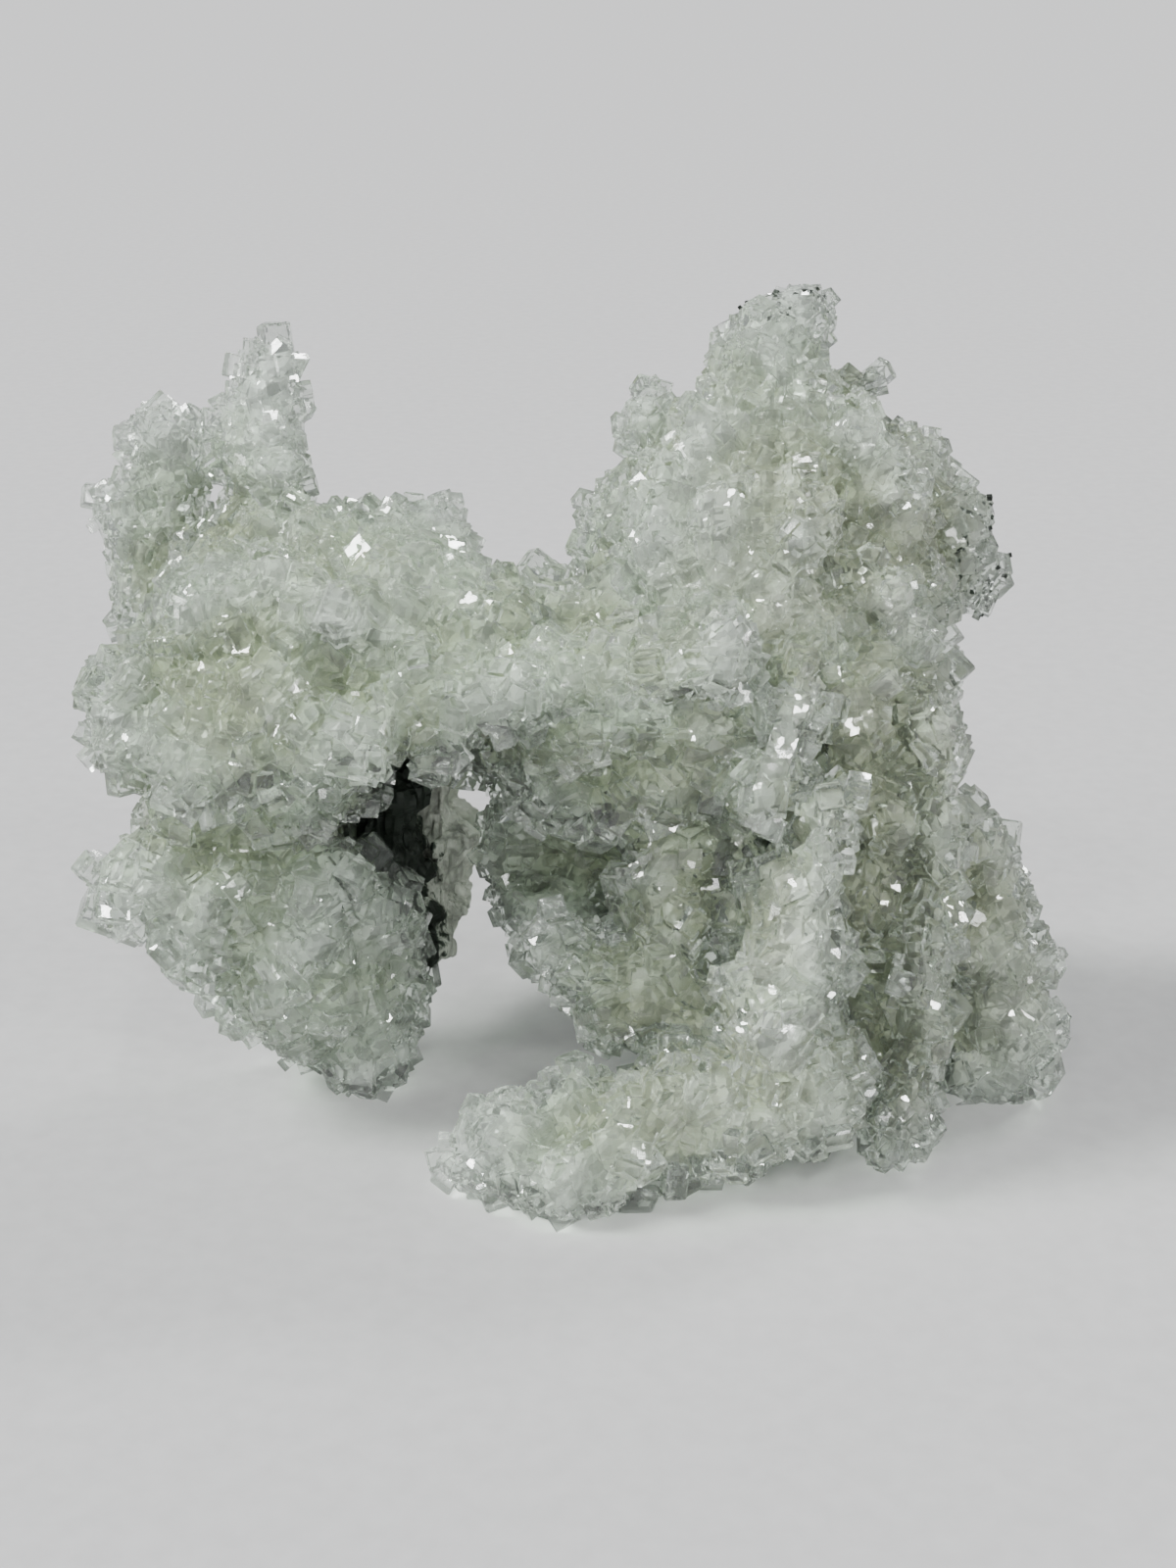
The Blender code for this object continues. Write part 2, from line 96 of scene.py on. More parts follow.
SHELTER_CELL = 1.0 * MM  # cell of the grid that tells how sheltered a place is, which sets how much painted shade the milk gets
SHELTER_RADIUS = 4.5 * MM
SHELTER_MARGIN = 4 * SHELTER_RADIUS
SHELTER_FILLS = np.linspace(0.04, 1, 14)  # shares of a bar's size at which points fill it

TRIES_PER_CELL = 6  # random spots on a skin for each crystal's cell
PATCH_LENGTH = 14 * MM  # neighbouring crystals share a direction over about this length
PATCH_LEAN = 0.35  # how far a patch of crystals leans
CRYSTAL_LEAN = 0.3  # how far each one leans of its own
CRYSTAL_TURN = 0.9  # and turns of its own
SIZE_SPREAD = 0.38  # of the logarithm of the crystals' sizes
SMALLEST, LARGEST = 0.5, 2.3  # shares of the usual size
BLOCK_EDGES = ((0.6, 0.8, 0.7), (1, 1, 1.15))  # least and most of its edges, as shares of its size
CHAMFERED_FROM = 1.35  # crystals above this share of the usual size have bevelled edges
CHAMFER = 0.16  # width of a bevel, as a share of the crystal's least half edge
PLATE_SHARE = 0.03  # of the crystals, that are broad flat plates
PLATE_EDGES = ((1.7, 1.5, 0.5), (2.6, 2.2, 0.8))
PROUD_SHARE = 0.05  # of the crystals, that are large clear cubes and stand nearly free
PROUD_SIZE = (1.15, 1.8)
PROUD_EDGES = (0.85, 1.1)
# How far a crystal's middle stands over the skin, as a share of its half height
CRYSTAL_LIFT = (-0.1, 0.5)
PROUD_LIFT = (0.4, 0.8)
PLATE_LIFT = 0.1
FINENESS = {"tower": 0.82, "tall_fan": 0.82}  # share of the usual crystal size on the finer limbs
CRUST_INSET = 1.9 * MM  # how far the skin lies inside the reach of its crystals

# Crystals laid one by one: (limb, middle in mm, direction of the long axis, half edges in mm)
LONG_CRYSTALS = (
    ("columns", (18.4, -15.0, 42.6), (-4.5, -5.5, -12.5), (1.3, 0.9, 5.2)),
    ("columns", (20.2, -13.2, 44.6), (-4.0, -5.5, -12.5), (0.9, 0.8, 3.4)),
    ("columns", (16.9, -17.4, 37.4), (-5.5, -4.0, -11.0), (1.1, 0.9, 2.8)),
)

PREHNITE_IOR = 1.6
GLASS_CLEARNESS = 0.91  # share of the light that goes through a crystal
GLASS_REFLECTION = 0.9
GLASS_FACETS = (1300.0, 0.13)  # cells in a metre and how far each one turns
GLASS_PATCHES = 450.0  # clearer and duller patches in a metre
GLASS_TONE = 0.82  # of the dullest glass
TONE_BY_PATCH, TONE_BY_FACET = 0.1, 0.14  # what the clearest patch and facet add to it
GLASS_POLISH = (0.03, 0.13)  # roughness of polished and of frosted patches
FROST_CLOUDS = 120.0
FROST_BY_PATCH = 0.4
FROST_RANGE = (0.55, 0.9)  # of the clouds and patches together, from polished to frosted
GLASS_SHADOW = (0.95, 0.97, 0.95, 1)  # a crystal casts almost no shadow
TINT_DENSITY = 40.0

MILK_FACETS = (900.0, 0.5)
MILK_TONE = (0.65, 1.35)  # of the darkest and the brightest facet
MILK_ROUGHNESS, MILK_IOR = 0.3, 1.5
MILK_CLOUDS = 90.0
CLOUD_DEPTH = 0.5  # how much the clouds add to the shelter, and so to the milk's painted shade
MILK_STOPS = (0.6, 0.85, 1.1)  # shelter of a crest, a flank and a recess: the milk's own colour, some painted shade and deep painted shade
OLIVE_EDGE = (0.016, 0.036)  # how far right the milk turns from mint to olive, in metres
OLIVE_TOP = (0.074, 0.064)  # and how high up it turns back
OLIVE_CLOUDS, OLIVE_DRIFT = 45.0, 0.03  # clouds that shift the edge, and by how much

GRAINS = 110  # dark grains caught on the rims of the tower
GRAIN_SIZE = (0.12 * MM, 0.3 * MM)
GRAIN_EDGES = (0.6, 1)
GRAIN_RIM, GRAIN_PEAK = 0.039, 0.0775  # metres: grains sit right of the one or above the other

ROCK_CELL = 0.35 * MM
ROCK_INSET = 0.5 * MM
FIBRE_WIDTH = 0.9 * MM
FIBRE_HEIGHT = 0.16 * MM
FIBRES = ((1, 1, 7), (2.2, 0.6, 4))  # shares of the width and height, and length over width
STRANDS, BLOTCHES = 900.0, 260.0  # in a metre
STRAND_SQUASH = 0.18  # of the strands' pattern along the fibres
STRAND_BUMP = 0.3 * MM
STRAND_WEIGHT, BLOTCH_WEIGHT, BLEACH_WEIGHT, BLEACH_OFFSET = 0.9, 1.2, 0.6, -0.72
# From dark to pale: place on the scale, colour, brightness
ROCK_STOPS = (
    (0.36, "rock", 1), (0.46, "rock", 2.5), (0.56, "vein", 1), (0.75, "vein", 0.6), (1, "vein", 1.3),
)
ROCK_POLISH = (0.35, 0.85)

FLOOR_HALF = 9.0
FLOOR_GRAIN, FLOOR_ROUGHNESS = 400.0, 0.85
FLOOR_TONES = (0.97, 1.03)
ROOM_COLOUR = (0.94, 0.96, 1, 1)
# Name, direction that the light comes from, share of the key light, width in degrees
SUNS = (
    ("key", (-0.75, 0.05, 0.8), 1, 16),
    ("back", (0.4, 0.6, 0.8), 0.32, 9),
    ("front", (-0.25, -0.9, 0.7), 0.15, 6),
    ("low_front", (0.1, -1, 0.15), 0.15, 12),
    ("right_glint", (0.5, -0.6, 0.6), 0.12, 5),
    ("far_right_glint", (0.9, -0.1, 0.5), 0.12, 5),
    ("left_glint", (-0.9, -0.5, 0.4), 0.14, 5),
    ("top_glint", (0.1, -0.4, 1), 0.15, 5),
    ("high_left_glint", (-0.5, -0.6, 0.9), 0.12, 5),
    ("low_right_glint", (0.4, -0.9, 0.3), 0.1, 5),
)
CAMERA_LENS = 52.27  # millimetres
CAMERA_PLACE = (0, -215.1, 119.3)  # millimetres
CAMERA_DIP = 22  # degrees that the camera looks down

BACKWARD = (0, 1, 0)
LEANING_BACK = (0, 1, 0.3)
UP_AND_BACK = (0, 1, 0.4)
TURNED = (0.3, 1, 0)


def tall_fan():
    """The two thin blades at the upper left, on their shoulder."""
    right_blade = [
        (-33, 5, 57, 6.2, 5), (-33.2, 7, 65, 5.8, 4.5), (-32, 8, 70.5, 5.8, 4), (-32.6, 8, 75, 4, 3),
    ]
    left_blade = [
        (-43, 6, 47, 5, 5), (-44.5, 8, 53, 5.6, 5), (-43.8, 9, 59.5, 6.4, 5), (-42, 9, 65.8, 4, 3.5),
    ]
    shoulder = [(-35, 2, 54.5, 6.5, 8), (-24, 1, 53, 9, 10), (-16, 3, 52.5, 7.5, 9)]
    shoulder_back = [(-39, 14, 49, 6, 7), (-27, 18, 49, 6.5, 8), (-17, 16, 47, 5.5, 8)]
    bars = (right_blade, left_blade, shoulder, shoulder_back)
    return list(zip(bars, (BACKWARD, TURNED, UP_AND_BACK, BACKWARD)))


def left_roll():
    """The thick rolled bar from the left tip to the middle, with the brow and breast above it."""
    front = [
        (-40.5, -6, 41, 6.4, 8), (-34.5, -8, 42, 7.2, 9), (-25.5, -10, 43.5, 6.8, 9),
        (-16, -8.5, 45, 6.2, 9), (-7.5, -6, 47, 5, 9),
    ]
    tip = [(-44, -3, 45.5, 4.6, 7), (-46, -6, 41, 3.8, 6), (-44.5, -7, 37, 3.6, 6)]
    brow = [(-37, -3, 50, 6, 8), (-28, -5, 51.5, 8.2, 9), (-18, -4, 51.5, 8, 9), (-9, -3, 50, 5.5, 8)]
    breast = [(-39, -2, 45, 6, 8.5), (-30, -3.5, 46, 7, 11), (-20, -4, 47, 7, 11), (-11, -4, 48, 6, 9)]
    back = [(-43, 8, 38, 7, 9), (-28, 12, 36.5, 8.5, 10), (-15.5, 12, 41, 6, 9)]
    return [(front, LEANING_BACK)] + [(bar, BACKWARD) for bar in (tip, brow, breast, back)]


def left_pod():
    """The pod at the lower left, which ends in the left foot."""
    nub = [(-48, -8, 27, 3.4, 5), (-42.5, -8, 25, 6.8, 7), (-36, -6, 23, 8.6, 8)]
    neck = [(-33, 2, 37, 9, 9), (-34.5, -1, 28, 10, 10)]
    belly = [(-36, -2, 25.5, 9.8, 10), (-29.2, -2, 17, 12.2, 11), (-24.3, -1, 5.8, 8.4, 8)]
    cap = [(-33.5, -8, 14, 5.4, 6), (-25, -6, 9, 5.4, 6)]
    throat = [(-41, -5, 32.5, 4.6, 6), (-32, -6, 33.5, 5.6, 7.5), (-24, -4, 34.5, 4.6, 6.5)]
    return [(bar, BACKWARD) for bar in (nub, neck, belly, cap, throat)]


def saddle():
    """The bridge between the left shoulder and the tower, with the shelf in front of it."""
    bridge = [(-17, 4, 46, 7, 9), (-8, 5, 46, 5.2, 9), (2, 4, 47, 7, 10)]
    shelf = [(-4, -6.5, 47, 4.6, 7), (4, -8, 47.5, 5.2, 8), (12, -8, 49, 4.8, 8)]
    return [(bridge, LEANING_BACK), (shelf, BACKWARD)]


def tower():
    """The tall peak at the upper right, with the plates on its left edge and the lobe on its right."""
    body = [
        (17, 6, 45, 14.5, 14), (16, 9, 54.5, 14.5, 14), (17.5, 12, 64, 11.3, 11),
        (19, 13, 71.5, 7.2, 8), (20.5, 14, 76, 3.6, 5),
    ]
    left_plate = [(6.4, 14, 66.8, 4.8, 5), (8.5, 12, 63, 5.2, 6)]
    left_slope = [(2.5, 14, 52, 4.6, 7), (6, 13, 57.5, 5.4, 7)]
    top = [(13.5, 14, 72.5, 3, 4), (21, 15, 77, 3.2, 4)]
    nub = [(25, 14, 70, 3, 4), (29, 15, 71, 2.2, 3)]
    lobe = [(28, 14, 63, 5.2, 6), (34, 17, 57, 7.4, 8), (37.4, 18, 50.5, 6.2, 8)]
    brow = [(19, 0, 59, 3.2, 6), (26, 2, 55.5, 4.2, 7), (30.5, 2, 48.5, 4.8, 8)]
    back = [(20, 24, 50, 9, 7), (21, 23, 60, 9, 7), (21, 20, 68, 6, 6)]
    flank = [(25, 9, 66, 5.5, 8), (29, 9, 58, 6.5, 9), (31.5, 9, 50, 6, 9)]
    bars = (body, left_plate, left_slope, top, nub, lobe, brow, back, flank)
    return [(bar, BACKWARD) for bar in bars]


def columns():
    """The bundle of upright bars under the tower, which ends in the right foot."""
    ridge = [(21, -5.5, 48.5, 3.2, 6), (18.5, -8.2, 42, 3.8, 6.8), (16.5, -11, 36, 4, 7)]
    wall = [
        (25.5, 4, 48, 9, 9), (28, 2, 36, 9.2, 9), (29.5, 0, 21.5, 8.5, 9),
        (30.5, -4, 10, 7, 9), (30, -8, 3, 5.6, 8),
    ]
    wall_back = [(28, 15, 44, 6.5, 8), (31, 12, 30, 6.5, 7), (33.5, 8, 16, 6, 7)]
    wall_front = [(26, -3, 44, 6, 7), (27.5, -5.5, 33, 6, 7.5), (28, -7, 20, 5.5, 7.5)]
    right_bar = [
        (31.5, 2, 46.5, 3, 6), (34.5, -4, 39.5, 3.4, 6), (34.5, -8, 31.5, 3.8, 6),
        (33.5, -10, 20.5, 3.8, 6), (33, -12, 12, 3.8, 6), (31, -18.5, 2.5, 4, 6),
    ]
    front_bar = [(22, -15, 34, 3.6, 6), (20, -16, 27, 5, 7), (19, -17, 20, 6.3, 8)]
    bars = (ridge, wall, wall_back, wall_front, right_bar, front_bar)
    return [(bar, BACKWARD) for bar in bars]


def front_finger():
    """The bar that reaches forward and to the left, on the front foot."""
    finger = [
        (-9, -26.5, 4.5, 5.2, 7), (-2, -25, 4.5, 6.2, 8), (7.5, -23, 7, 6, 8),
        (18, -21, 8, 6.4, 8), (22.5, -19, 8, 6, 8),
    ]
    knuckle = [(18.5, -20, 17, 6.4, 8.5), (19, -20, 10, 7, 9)]
    return [(finger, BACKWARD), (knuckle, BACKWARD)]


def right_wing():
    """The thin upright blade at the lower right."""
    blade = [(39.5, 2, 27, 5, 5), (40.4, 0, 18, 6.2, 6), (43.3, -2, 10, 7.8, 6), (42, -4, 2.5, 6.8, 6)]
    tip = [(44, -2, 10, 4.4, 5), (48.6, -4, 8, 3.4, 4)]
    root = [(36, 2, 17, 4, 6), (41, 0, 13, 4, 6)]
    return [(blade, TURNED), (tip, TURNED), (root, BACKWARD)]


def middle_lobe():
    """The curtain that hangs under the saddle, its veil in front and the lobe at its lower end."""
    curtain = [(7, 0, 41, 7, 7), (8, -2, 33, 7, 7), (9, -6, 25.5, 6.5, 7), (8, -9, 19, 6, 7)]
    veil = [(-7, -1, 39, 6, 7), (0, -4, 38.5, 7.5, 8.5), (8, -5.5, 38, 7.5, 8.5), (14, -6, 37.5, 6, 7)]
    lobe = [(-3.5, -12, 18.5, 4.4, 6), (4, -12, 15, 6, 7), (11, -13, 13.5, 5.2, 7)]
    return [(curtain, BACKWARD), (lobe, BACKWARD), (veil, BACKWARD)]


def cave_wall():
    """The wall at the back of the cave between the pod and the columns."""
    wall = [(-9.5, 7, 21.5, 5, 5), (-3, 7, 23.5, 8, 6), (6.5, 6, 24, 8.5, 7), (18, 6, 25, 7, 7)]
    hanger = [(-7, 7, 42, 9, 6), (-5.5, 7.5, 31, 8.5, 5)]
    fringe = [(-8, 5, 17.5, 4, 5), (0, 3.5, 15.5, 4, 5)]
    return [(wall, BACKWARD), (hanger, BACKWARD), (fringe, BACKWARD)]


def rear_blade():
    """The broad blade behind the tower, which ends in the rear foot."""
    blade = [(17, 24, 44, 9, 6), (14, 28, 31, 10, 5.5), (10, 30, 16, 9, 5.5), (8, 31, 3, 7, 5.5)]
    rib = [(2, 21, 30, 5, 6), (9, 25, 27, 6, 6)]
    return [(blade, BACKWARD), (rib, BACKWARD)]


def matrix_remnant():
    """The fibrous rock left between the pod and the cave, and the bleached patch beside it."""
    sliver = [(-21.5, 5, 31, 3.6, 6), (-20.5, 5, 22, 3.8, 6), (-17.5, 6, 12.5, 2.6, 5)]
    patch = [(-17, 9, 31, 3.6, 4), (-16, 8.5, 23, 3.6, 4), (-16, 8, 14, 2.6, 4)]
    return [(sliver, BACKWARD), (patch, BACKWARD)]


LIMBS = (
    tall_fan, left_roll, left_pod, saddle, tower, columns,
    front_finger, right_wing, middle_lobe, cave_wall, rear_blade,
)

# Narrow bars that round out the seams where a limb meets its neighbours
UNDER_THE_SHELF = [
    (-5, -6.5, 42.5, 4, 6.5), (3, -8.3, 42.5, 4.5, 7.2), (10, -8.3, 43, 4.5, 7.2), (15, -7.5, 43, 4, 6.5),
]
BESIDE_THE_COLUMNS = [(15.5, -6, 37, 3.5, 5), (15.5, -8, 29, 3.5, 5.5), (14.5, -10, 21, 3.5, 5.5)]
SEAMS = {"middle_lobe": [(UNDER_THE_SHELF, BACKWARD), (BESIDE_THE_COLUMNS, BACKWARD)]}


class GrowthSettings(bpy.types.PropertyGroup):
    """Sizes of the crystals and colours of the grown mass."""

    crystal_size: bpy.props.FloatProperty(
        name="Crystal size", description="Usual edge of a crystal on the crust",
        default=1.55 * MM, min=0.8 * MM, max=4 * MM, precision=4, unit="LENGTH",
    )
    crystal_spacing: bpy.props.FloatProperty(
        name="Crystal spacing", description="Distance between neighbouring crystals",
        default=1.65 * MM, min=1.2 * MM, max=6 * MM, precision=4, unit="LENGTH",
    )
    crust_depth: bpy.props.FloatProperty(
        name="Crust depth", description="How deep the milky core lies under the skin of the crust",
        default=0.85 * MM, min=0.2 * MM, max=2 * MM, precision=4, unit="LENGTH",
    )
    # From crest to recess the milk grows darker and greener with the shelter: painted shade over its own
    # mint or olive hue
    crest_colour: bpy.props.FloatVectorProperty(
        name="Crest colour", description="The milk on open crests",
        default=(0.39, 0.41, 0.39), min=0, max=1, subtype="COLOR",
    )
    # The milk's own mint hue with some painted shade
    mint_colour: bpy.props.FloatVectorProperty(
        name="Mint colour", description="The milk on the flanks of the left and middle limbs",
        default=(0.30, 0.335, 0.275), min=0, max=1, subtype="COLOR",
    )
    # Painted shade: the mint milk darkened and greened for sheltered places
    mint_painted_shade: bpy.props.FloatVectorProperty(
        name="Mint recess", description="The milk in sheltered places of the left and middle limbs",
        default=(0.225, 0.25, 0.17), min=0, max=1, subtype="COLOR",
    )
    # The milk's own olive hue with some painted shade
    olive_colour: bpy.props.FloatVectorProperty(
        name="Olive colour", description="The milk on the flanks of the right limbs",
        default=(0.31, 0.325, 0.275), min=0, max=1, subtype="COLOR",
    )
    # Painted shade: the olive milk darkened and greened for sheltered places
    olive_painted_shade: bpy.props.FloatVectorProperty(
        name="Olive recess", description="The milk in sheltered places of the right limbs",
        default=(0.24, 0.252, 0.18), min=0, max=1, subtype="COLOR",
    )
    glass_colour: bpy.props.FloatVectorProperty(
        name="Glass colour", description="The clear crystals",
        default=(0.91, 0.93, 0.905), min=0, max=1, subtype="COLOR",
    )
    tint: bpy.props.FloatVectorProperty(
        name="Crystal tint", description="What the clear crystals let through",
        default=(0.75, 0.88, 0.75), min=0, max=1, subtype="COLOR",
    )


class MatrixSettings(bpy.types.PropertyGroup):
    """Colours of the rock remnant."""

    rock_colour: bpy.props.FloatVectorProperty(
        name="Rock colour", description="The dark fibrous rock",
        default=(0.02, 0.026, 0.02), min=0, max=1, subtype="COLOR",
    )
    vein_colour: bpy.props.FloatVectorProperty(
        name="Vein colour", description="The pale streaks and the bleached patch",
        default=(0.45, 0.47, 0.42), min=0, max=1, subtype="COLOR",
    )


class StageSettings(bpy.types.PropertyGroup):
    """Floor and light."""

    floor_colour: bpy.props.FloatVectorProperty(
        name="Floor colour", description="The plain floor",
        default=(0.62, 0.62, 0.62), min=0, max=1, subtype="COLOR",
    )
    key_light: bpy.props.FloatProperty(
        name="Key light", description="Strength of the main light, which comes from the upper left",
        default=2.2, min=0, subtype="FACTOR", soft_max=10,
    )
    room_light: bpy.props.FloatProperty(
        name="Room light", description="Strength of the even light from all round",
        default=0.25, min=0, subtype="FACTOR", soft_max=2,
    )
    backdrop_light: bpy.props.FloatProperty(
        name="Backdrop", description="How bright the room looks beyond the floor",
        default=0.8, min=0, subtype="FACTOR", soft_max=2,
    )


def unit(vectors):
    """Each vector over its own length."""
    return vectors / np.linalg.norm(vectors, axis=-1, keepdims=True)


def smooth_path(sections):
    """A Catmull-Rom curve through the sections: middle and half sizes, in metres."""
    points = np.array(sections, float)
    points[:, :3] += SHIFT
    points *= MM
    spans = len(points) - 1
    guides = np.vstack([2 * points[0] - points[1], points, 2 * points[-1] - points[-2]])
    t = np.linspace(0, spans, PATH_SAMPLES)
    span = np.minimum(t.astype(int), spans - 1)
    f = (t - span)[:, None]
    a, b, c, d = (guides[span + i] for i in range(4))
    square, cube = 2 * a - 5 * b + 4 * c - d, 3 * b - a - 3 * c + d
    return 0.5 * (2 * b + (c - a) * f + square * f**2 + cube * f**3)


def bar_frame(bar, inset, thinnest):
    """Middle, cross axes and half sizes at even stations along a bar and its rounded ends."""
    sections, depth_axis = bar
    path = smooth_path(sections)
    path[:, 3:] = np.maximum(path[:, 3:] - inset, thinnest * path[:, 3:])
    steps = np.linalg.norm(np.diff(path[:, :3], axis=0), axis=1)
    along = np.concatenate([[0], np.cumsum(steps)])
    length = along[-1]
    caps = END_ROUNDING * path[[0, -1], 3:].mean(axis=1)
    turn = np.linspace(CAP_OPENING, math.pi / 2, CAP_RINGS + 1)[:-1]
    inner = max(FEWEST_RINGS, round(length / SKIN_CELL))
    start, end = -caps[0] * np.cos(turn), length + caps[1] * np.cos(turn[::-1])
    stations = np.concatenate([start, np.linspace(0, length, inner), end])
    shrink = np.concatenate([np.sin(turn), np.ones(inner), np.sin(turn[::-1])])
    nearest = np.clip(stations, 0, length)

    def at_stations(rows):
        return np.stack([np.interp(nearest, along, column) for column in rows.T], axis=1)

    here = at_stations(path)
    tangent = unit(at_stations(unit(np.gradient(path[:, :3], axis=0))))
    centre = here[:, :3] + tangent * (stations - nearest)[:, None]
    depth = np.array(depth_axis, float)
    depth = unit(depth - (tangent @ depth)[:, None] * tangent)
    ends = (here[0, :3] - tangent[0] * caps[0], here[-1, :3] + tangent[-1] * caps[1])
    return centre, np.cross(tangent, depth), depth, here[:, 3:] * shrink[:, None], ends


def bar_points(bar, inset=0.0, thinnest=1.0, fill=1.0):
    """S(s, a) = C(s) + r(a) (w(s) cos a A(s) + d(s) sin a D(s)), as a grid (station, angle, xyz).

    r(a) makes the outline |x|^n + |y|^n = 1, and fill below 1 draws the same grid inside the bar.
    """
    centre, across, depth, half, ends = bar_frame(bar, inset, thinnest)
    angle = np.linspace(0, 2 * math.pi, BAR_SIDES, endpoint=False)
    cosine, sine = np.cos(angle), np.sin(angle)
    radius = fill * (np.abs(cosine) ** SQUARENESS + np.abs(sine) ** SQUARENESS) ** (-1 / SQUARENESS)
    grid = (
        centre[:, None]
        + across[:, None] * (half[:, :1] * radius * cosine)[..., None]
        + depth[:, None] * (half[:, 1:] * radius * sine)[..., None]
    )
    return grid, ends


def tube_faces(rings, sides):
    """Quads between the rings of a grid and two fans that close its ends."""
    ring, corner = np.meshgrid(np.arange(rings - 1), np.arange(sides), indexing="ij")
    low, following = ring * sides, (corner + 1) % sides
    high = low + sides
    quads = np.stack([low + corner, low + following, high + following, high + corner], axis=-1)
    corner = np.arange(sides)
    following = (corner + 1) % sides
    first = np.stack([np.full(sides, rings * sides), following, corner], axis=-1)
    last_ring = (rings - 1) * sides
    last_tip = np.full(sides, rings * sides + 1)
    last = np.stack([last_tip, last_ring + corner, last_ring + following], axis=-1)
    return quads.reshape(-1, 4), np.concatenate([first, last])


def mesh_from(name, points, *face_arrays):
    """A mesh from points and any number of arrays of equal-sided faces."""
    mesh = bpy.data.meshes.new(name)
    corners = np.concatenate([faces.reshape(-1) for faces in face_arrays])
    sizes = np.concatenate([np.full(len(faces), faces.shape[1]) for faces in face_arrays])
    mesh.vertices.add(len(points))
    mesh.vertices.foreach_set("co", np.asarray(points, np.float32).reshape(-1))
    mesh.loops.add(len(corners))
    mesh.loops.foreach_set("vertex_index", corners.astype(np.int32))
    mesh.polygons.add(len(sizes))
    mesh.polygons.foreach_set("loop_start", (np.cumsum(sizes) - sizes).astype(np.int32))
    mesh.update(calc_edges=True)
    mesh.validate()
    return mesh


def new_object(name, mesh):
    obj = bpy.data.objects.new(name, mesh)
    bpy.context.scene.collection.objects.link(obj)
    return obj


def outward(mesh):
    """Turns all the faces of closed pieces to point outwards."""
    work = bmesh.new()
    work.from_mesh(mesh)
    bmesh.ops.recalc_face_normals(work, faces=work.faces)
    work.to_mesh(mesh)
    work.free()


def apply_modifiers(obj):
    """Puts what the modifiers make in the place of the object's mesh."""
    graph = bpy.context.evaluated_depsgraph_get()
    mesh = bpy.data.meshes.new_from_object(obj.evaluated_get(graph))
    obj.modifiers.clear()
    obj.data = mesh


def vertex_values(mesh, name):
    """The places ("co") or normals ("normal") of a mesh's points, one row each."""
    values = np.empty(len(mesh.vertices) * 3, np.float32)
    mesh.vertices.foreach_get(name, values)
    return values.reshape(-1, 3).astype(float)


def move_points(mesh, points):
    mesh.vertices.foreach_set("co", points.astype(np.float32).reshape(-1))
    mesh.update()


def triangles_of(mesh):
    mesh.calc_loop_triangles()
    triangles = np.empty(len(mesh.loop_triangles) * 3, np.int32)
    mesh.loop_triangles.foreach_get("vertices", triangles)
    return triangles.reshape(-1, 3)


def ripple(points, wavelength, seed, stretch=(1, 1, 1)):
    """A smooth random field of about unit size: a sum of plane waves in random directions.

    Its waves are longer by the stretch along each axis.
    """
    rng = np.random.default_rng(seed)
    waves = unit(rng.normal(size=(RIPPLE_WAVES, 3))) * 2 * math.pi / wavelength
    waves *= rng.uniform(*RIPPLE_SPREAD, (RIPPLE_WAVES, 1))
    phases = rng.uniform(0, 2 * math.pi, RIPPLE_WAVES)
    heights = np.sin(points / np.array(stretch, float) @ waves.T + phases)
    return heights.sum(axis=1) / math.sqrt(RIPPLE_WAVES / 2)


def filled_cells():
    """A grid of space, 1 where a bar fills the cell and 0 elsewhere, and its lowest corner."""
    insides = [
        bar_points(bar, fill=fill)[0].reshape(-1, 3)
        for limb in LIMBS
        for bar in limb()
        for fill in SHELTER_FILLS
    ]
    points = np.vstack(insides)
    lowest = points.min(axis=0) - SHELTER_MARGIN
    shape = np.ceil((points.max(axis=0) + SHELTER_MARGIN - lowest) / SHELTER_CELL).astype(int)
    cells = np.zeros(shape)
    cells[tuple(((points - lowest) / SHELTER_CELL).astype(int).T)] = 1
    return cells, lowest


@lru_cache(maxsize=1)
def shelter_grid():
    """The filled cells after a Gaussian blur: their waves of frequency f times exp(-2 (pi f r)^2)."""
    cells, lowest = filled_cells()
    waves = np.fft.rfftn(cells)
    for axis, count in enumerate(cells.shape):
        frequency = np.fft.rfftfreq(count) if axis == 2 else np.fft.fftfreq(count)
        falloff = np.exp(-2 * (math.pi * frequency * SHELTER_RADIUS / SHELTER_CELL) ** 2)
        waves *= falloff.reshape([-1 if k == axis else 1 for k in range(3)])
    return np.fft.irfftn(waves, cells.shape), lowest


def shelter_of(points):
    """How much of the space round each point is filled, read between the middles of the cells."""
    grid, lowest = shelter_grid()
    place = np.clip((points - lowest) / SHELTER_CELL - 0.5, 0, np.array(grid.shape) - 1.001)
    base = place.astype(int)
    part = place - base
    total = 0
    for step in np.ndindex(2, 2, 2):
        weight = np.prod(np.where(step, part, 1 - part), axis=1)
        total = total + weight * grid[tuple((base + step).T)]
    return total


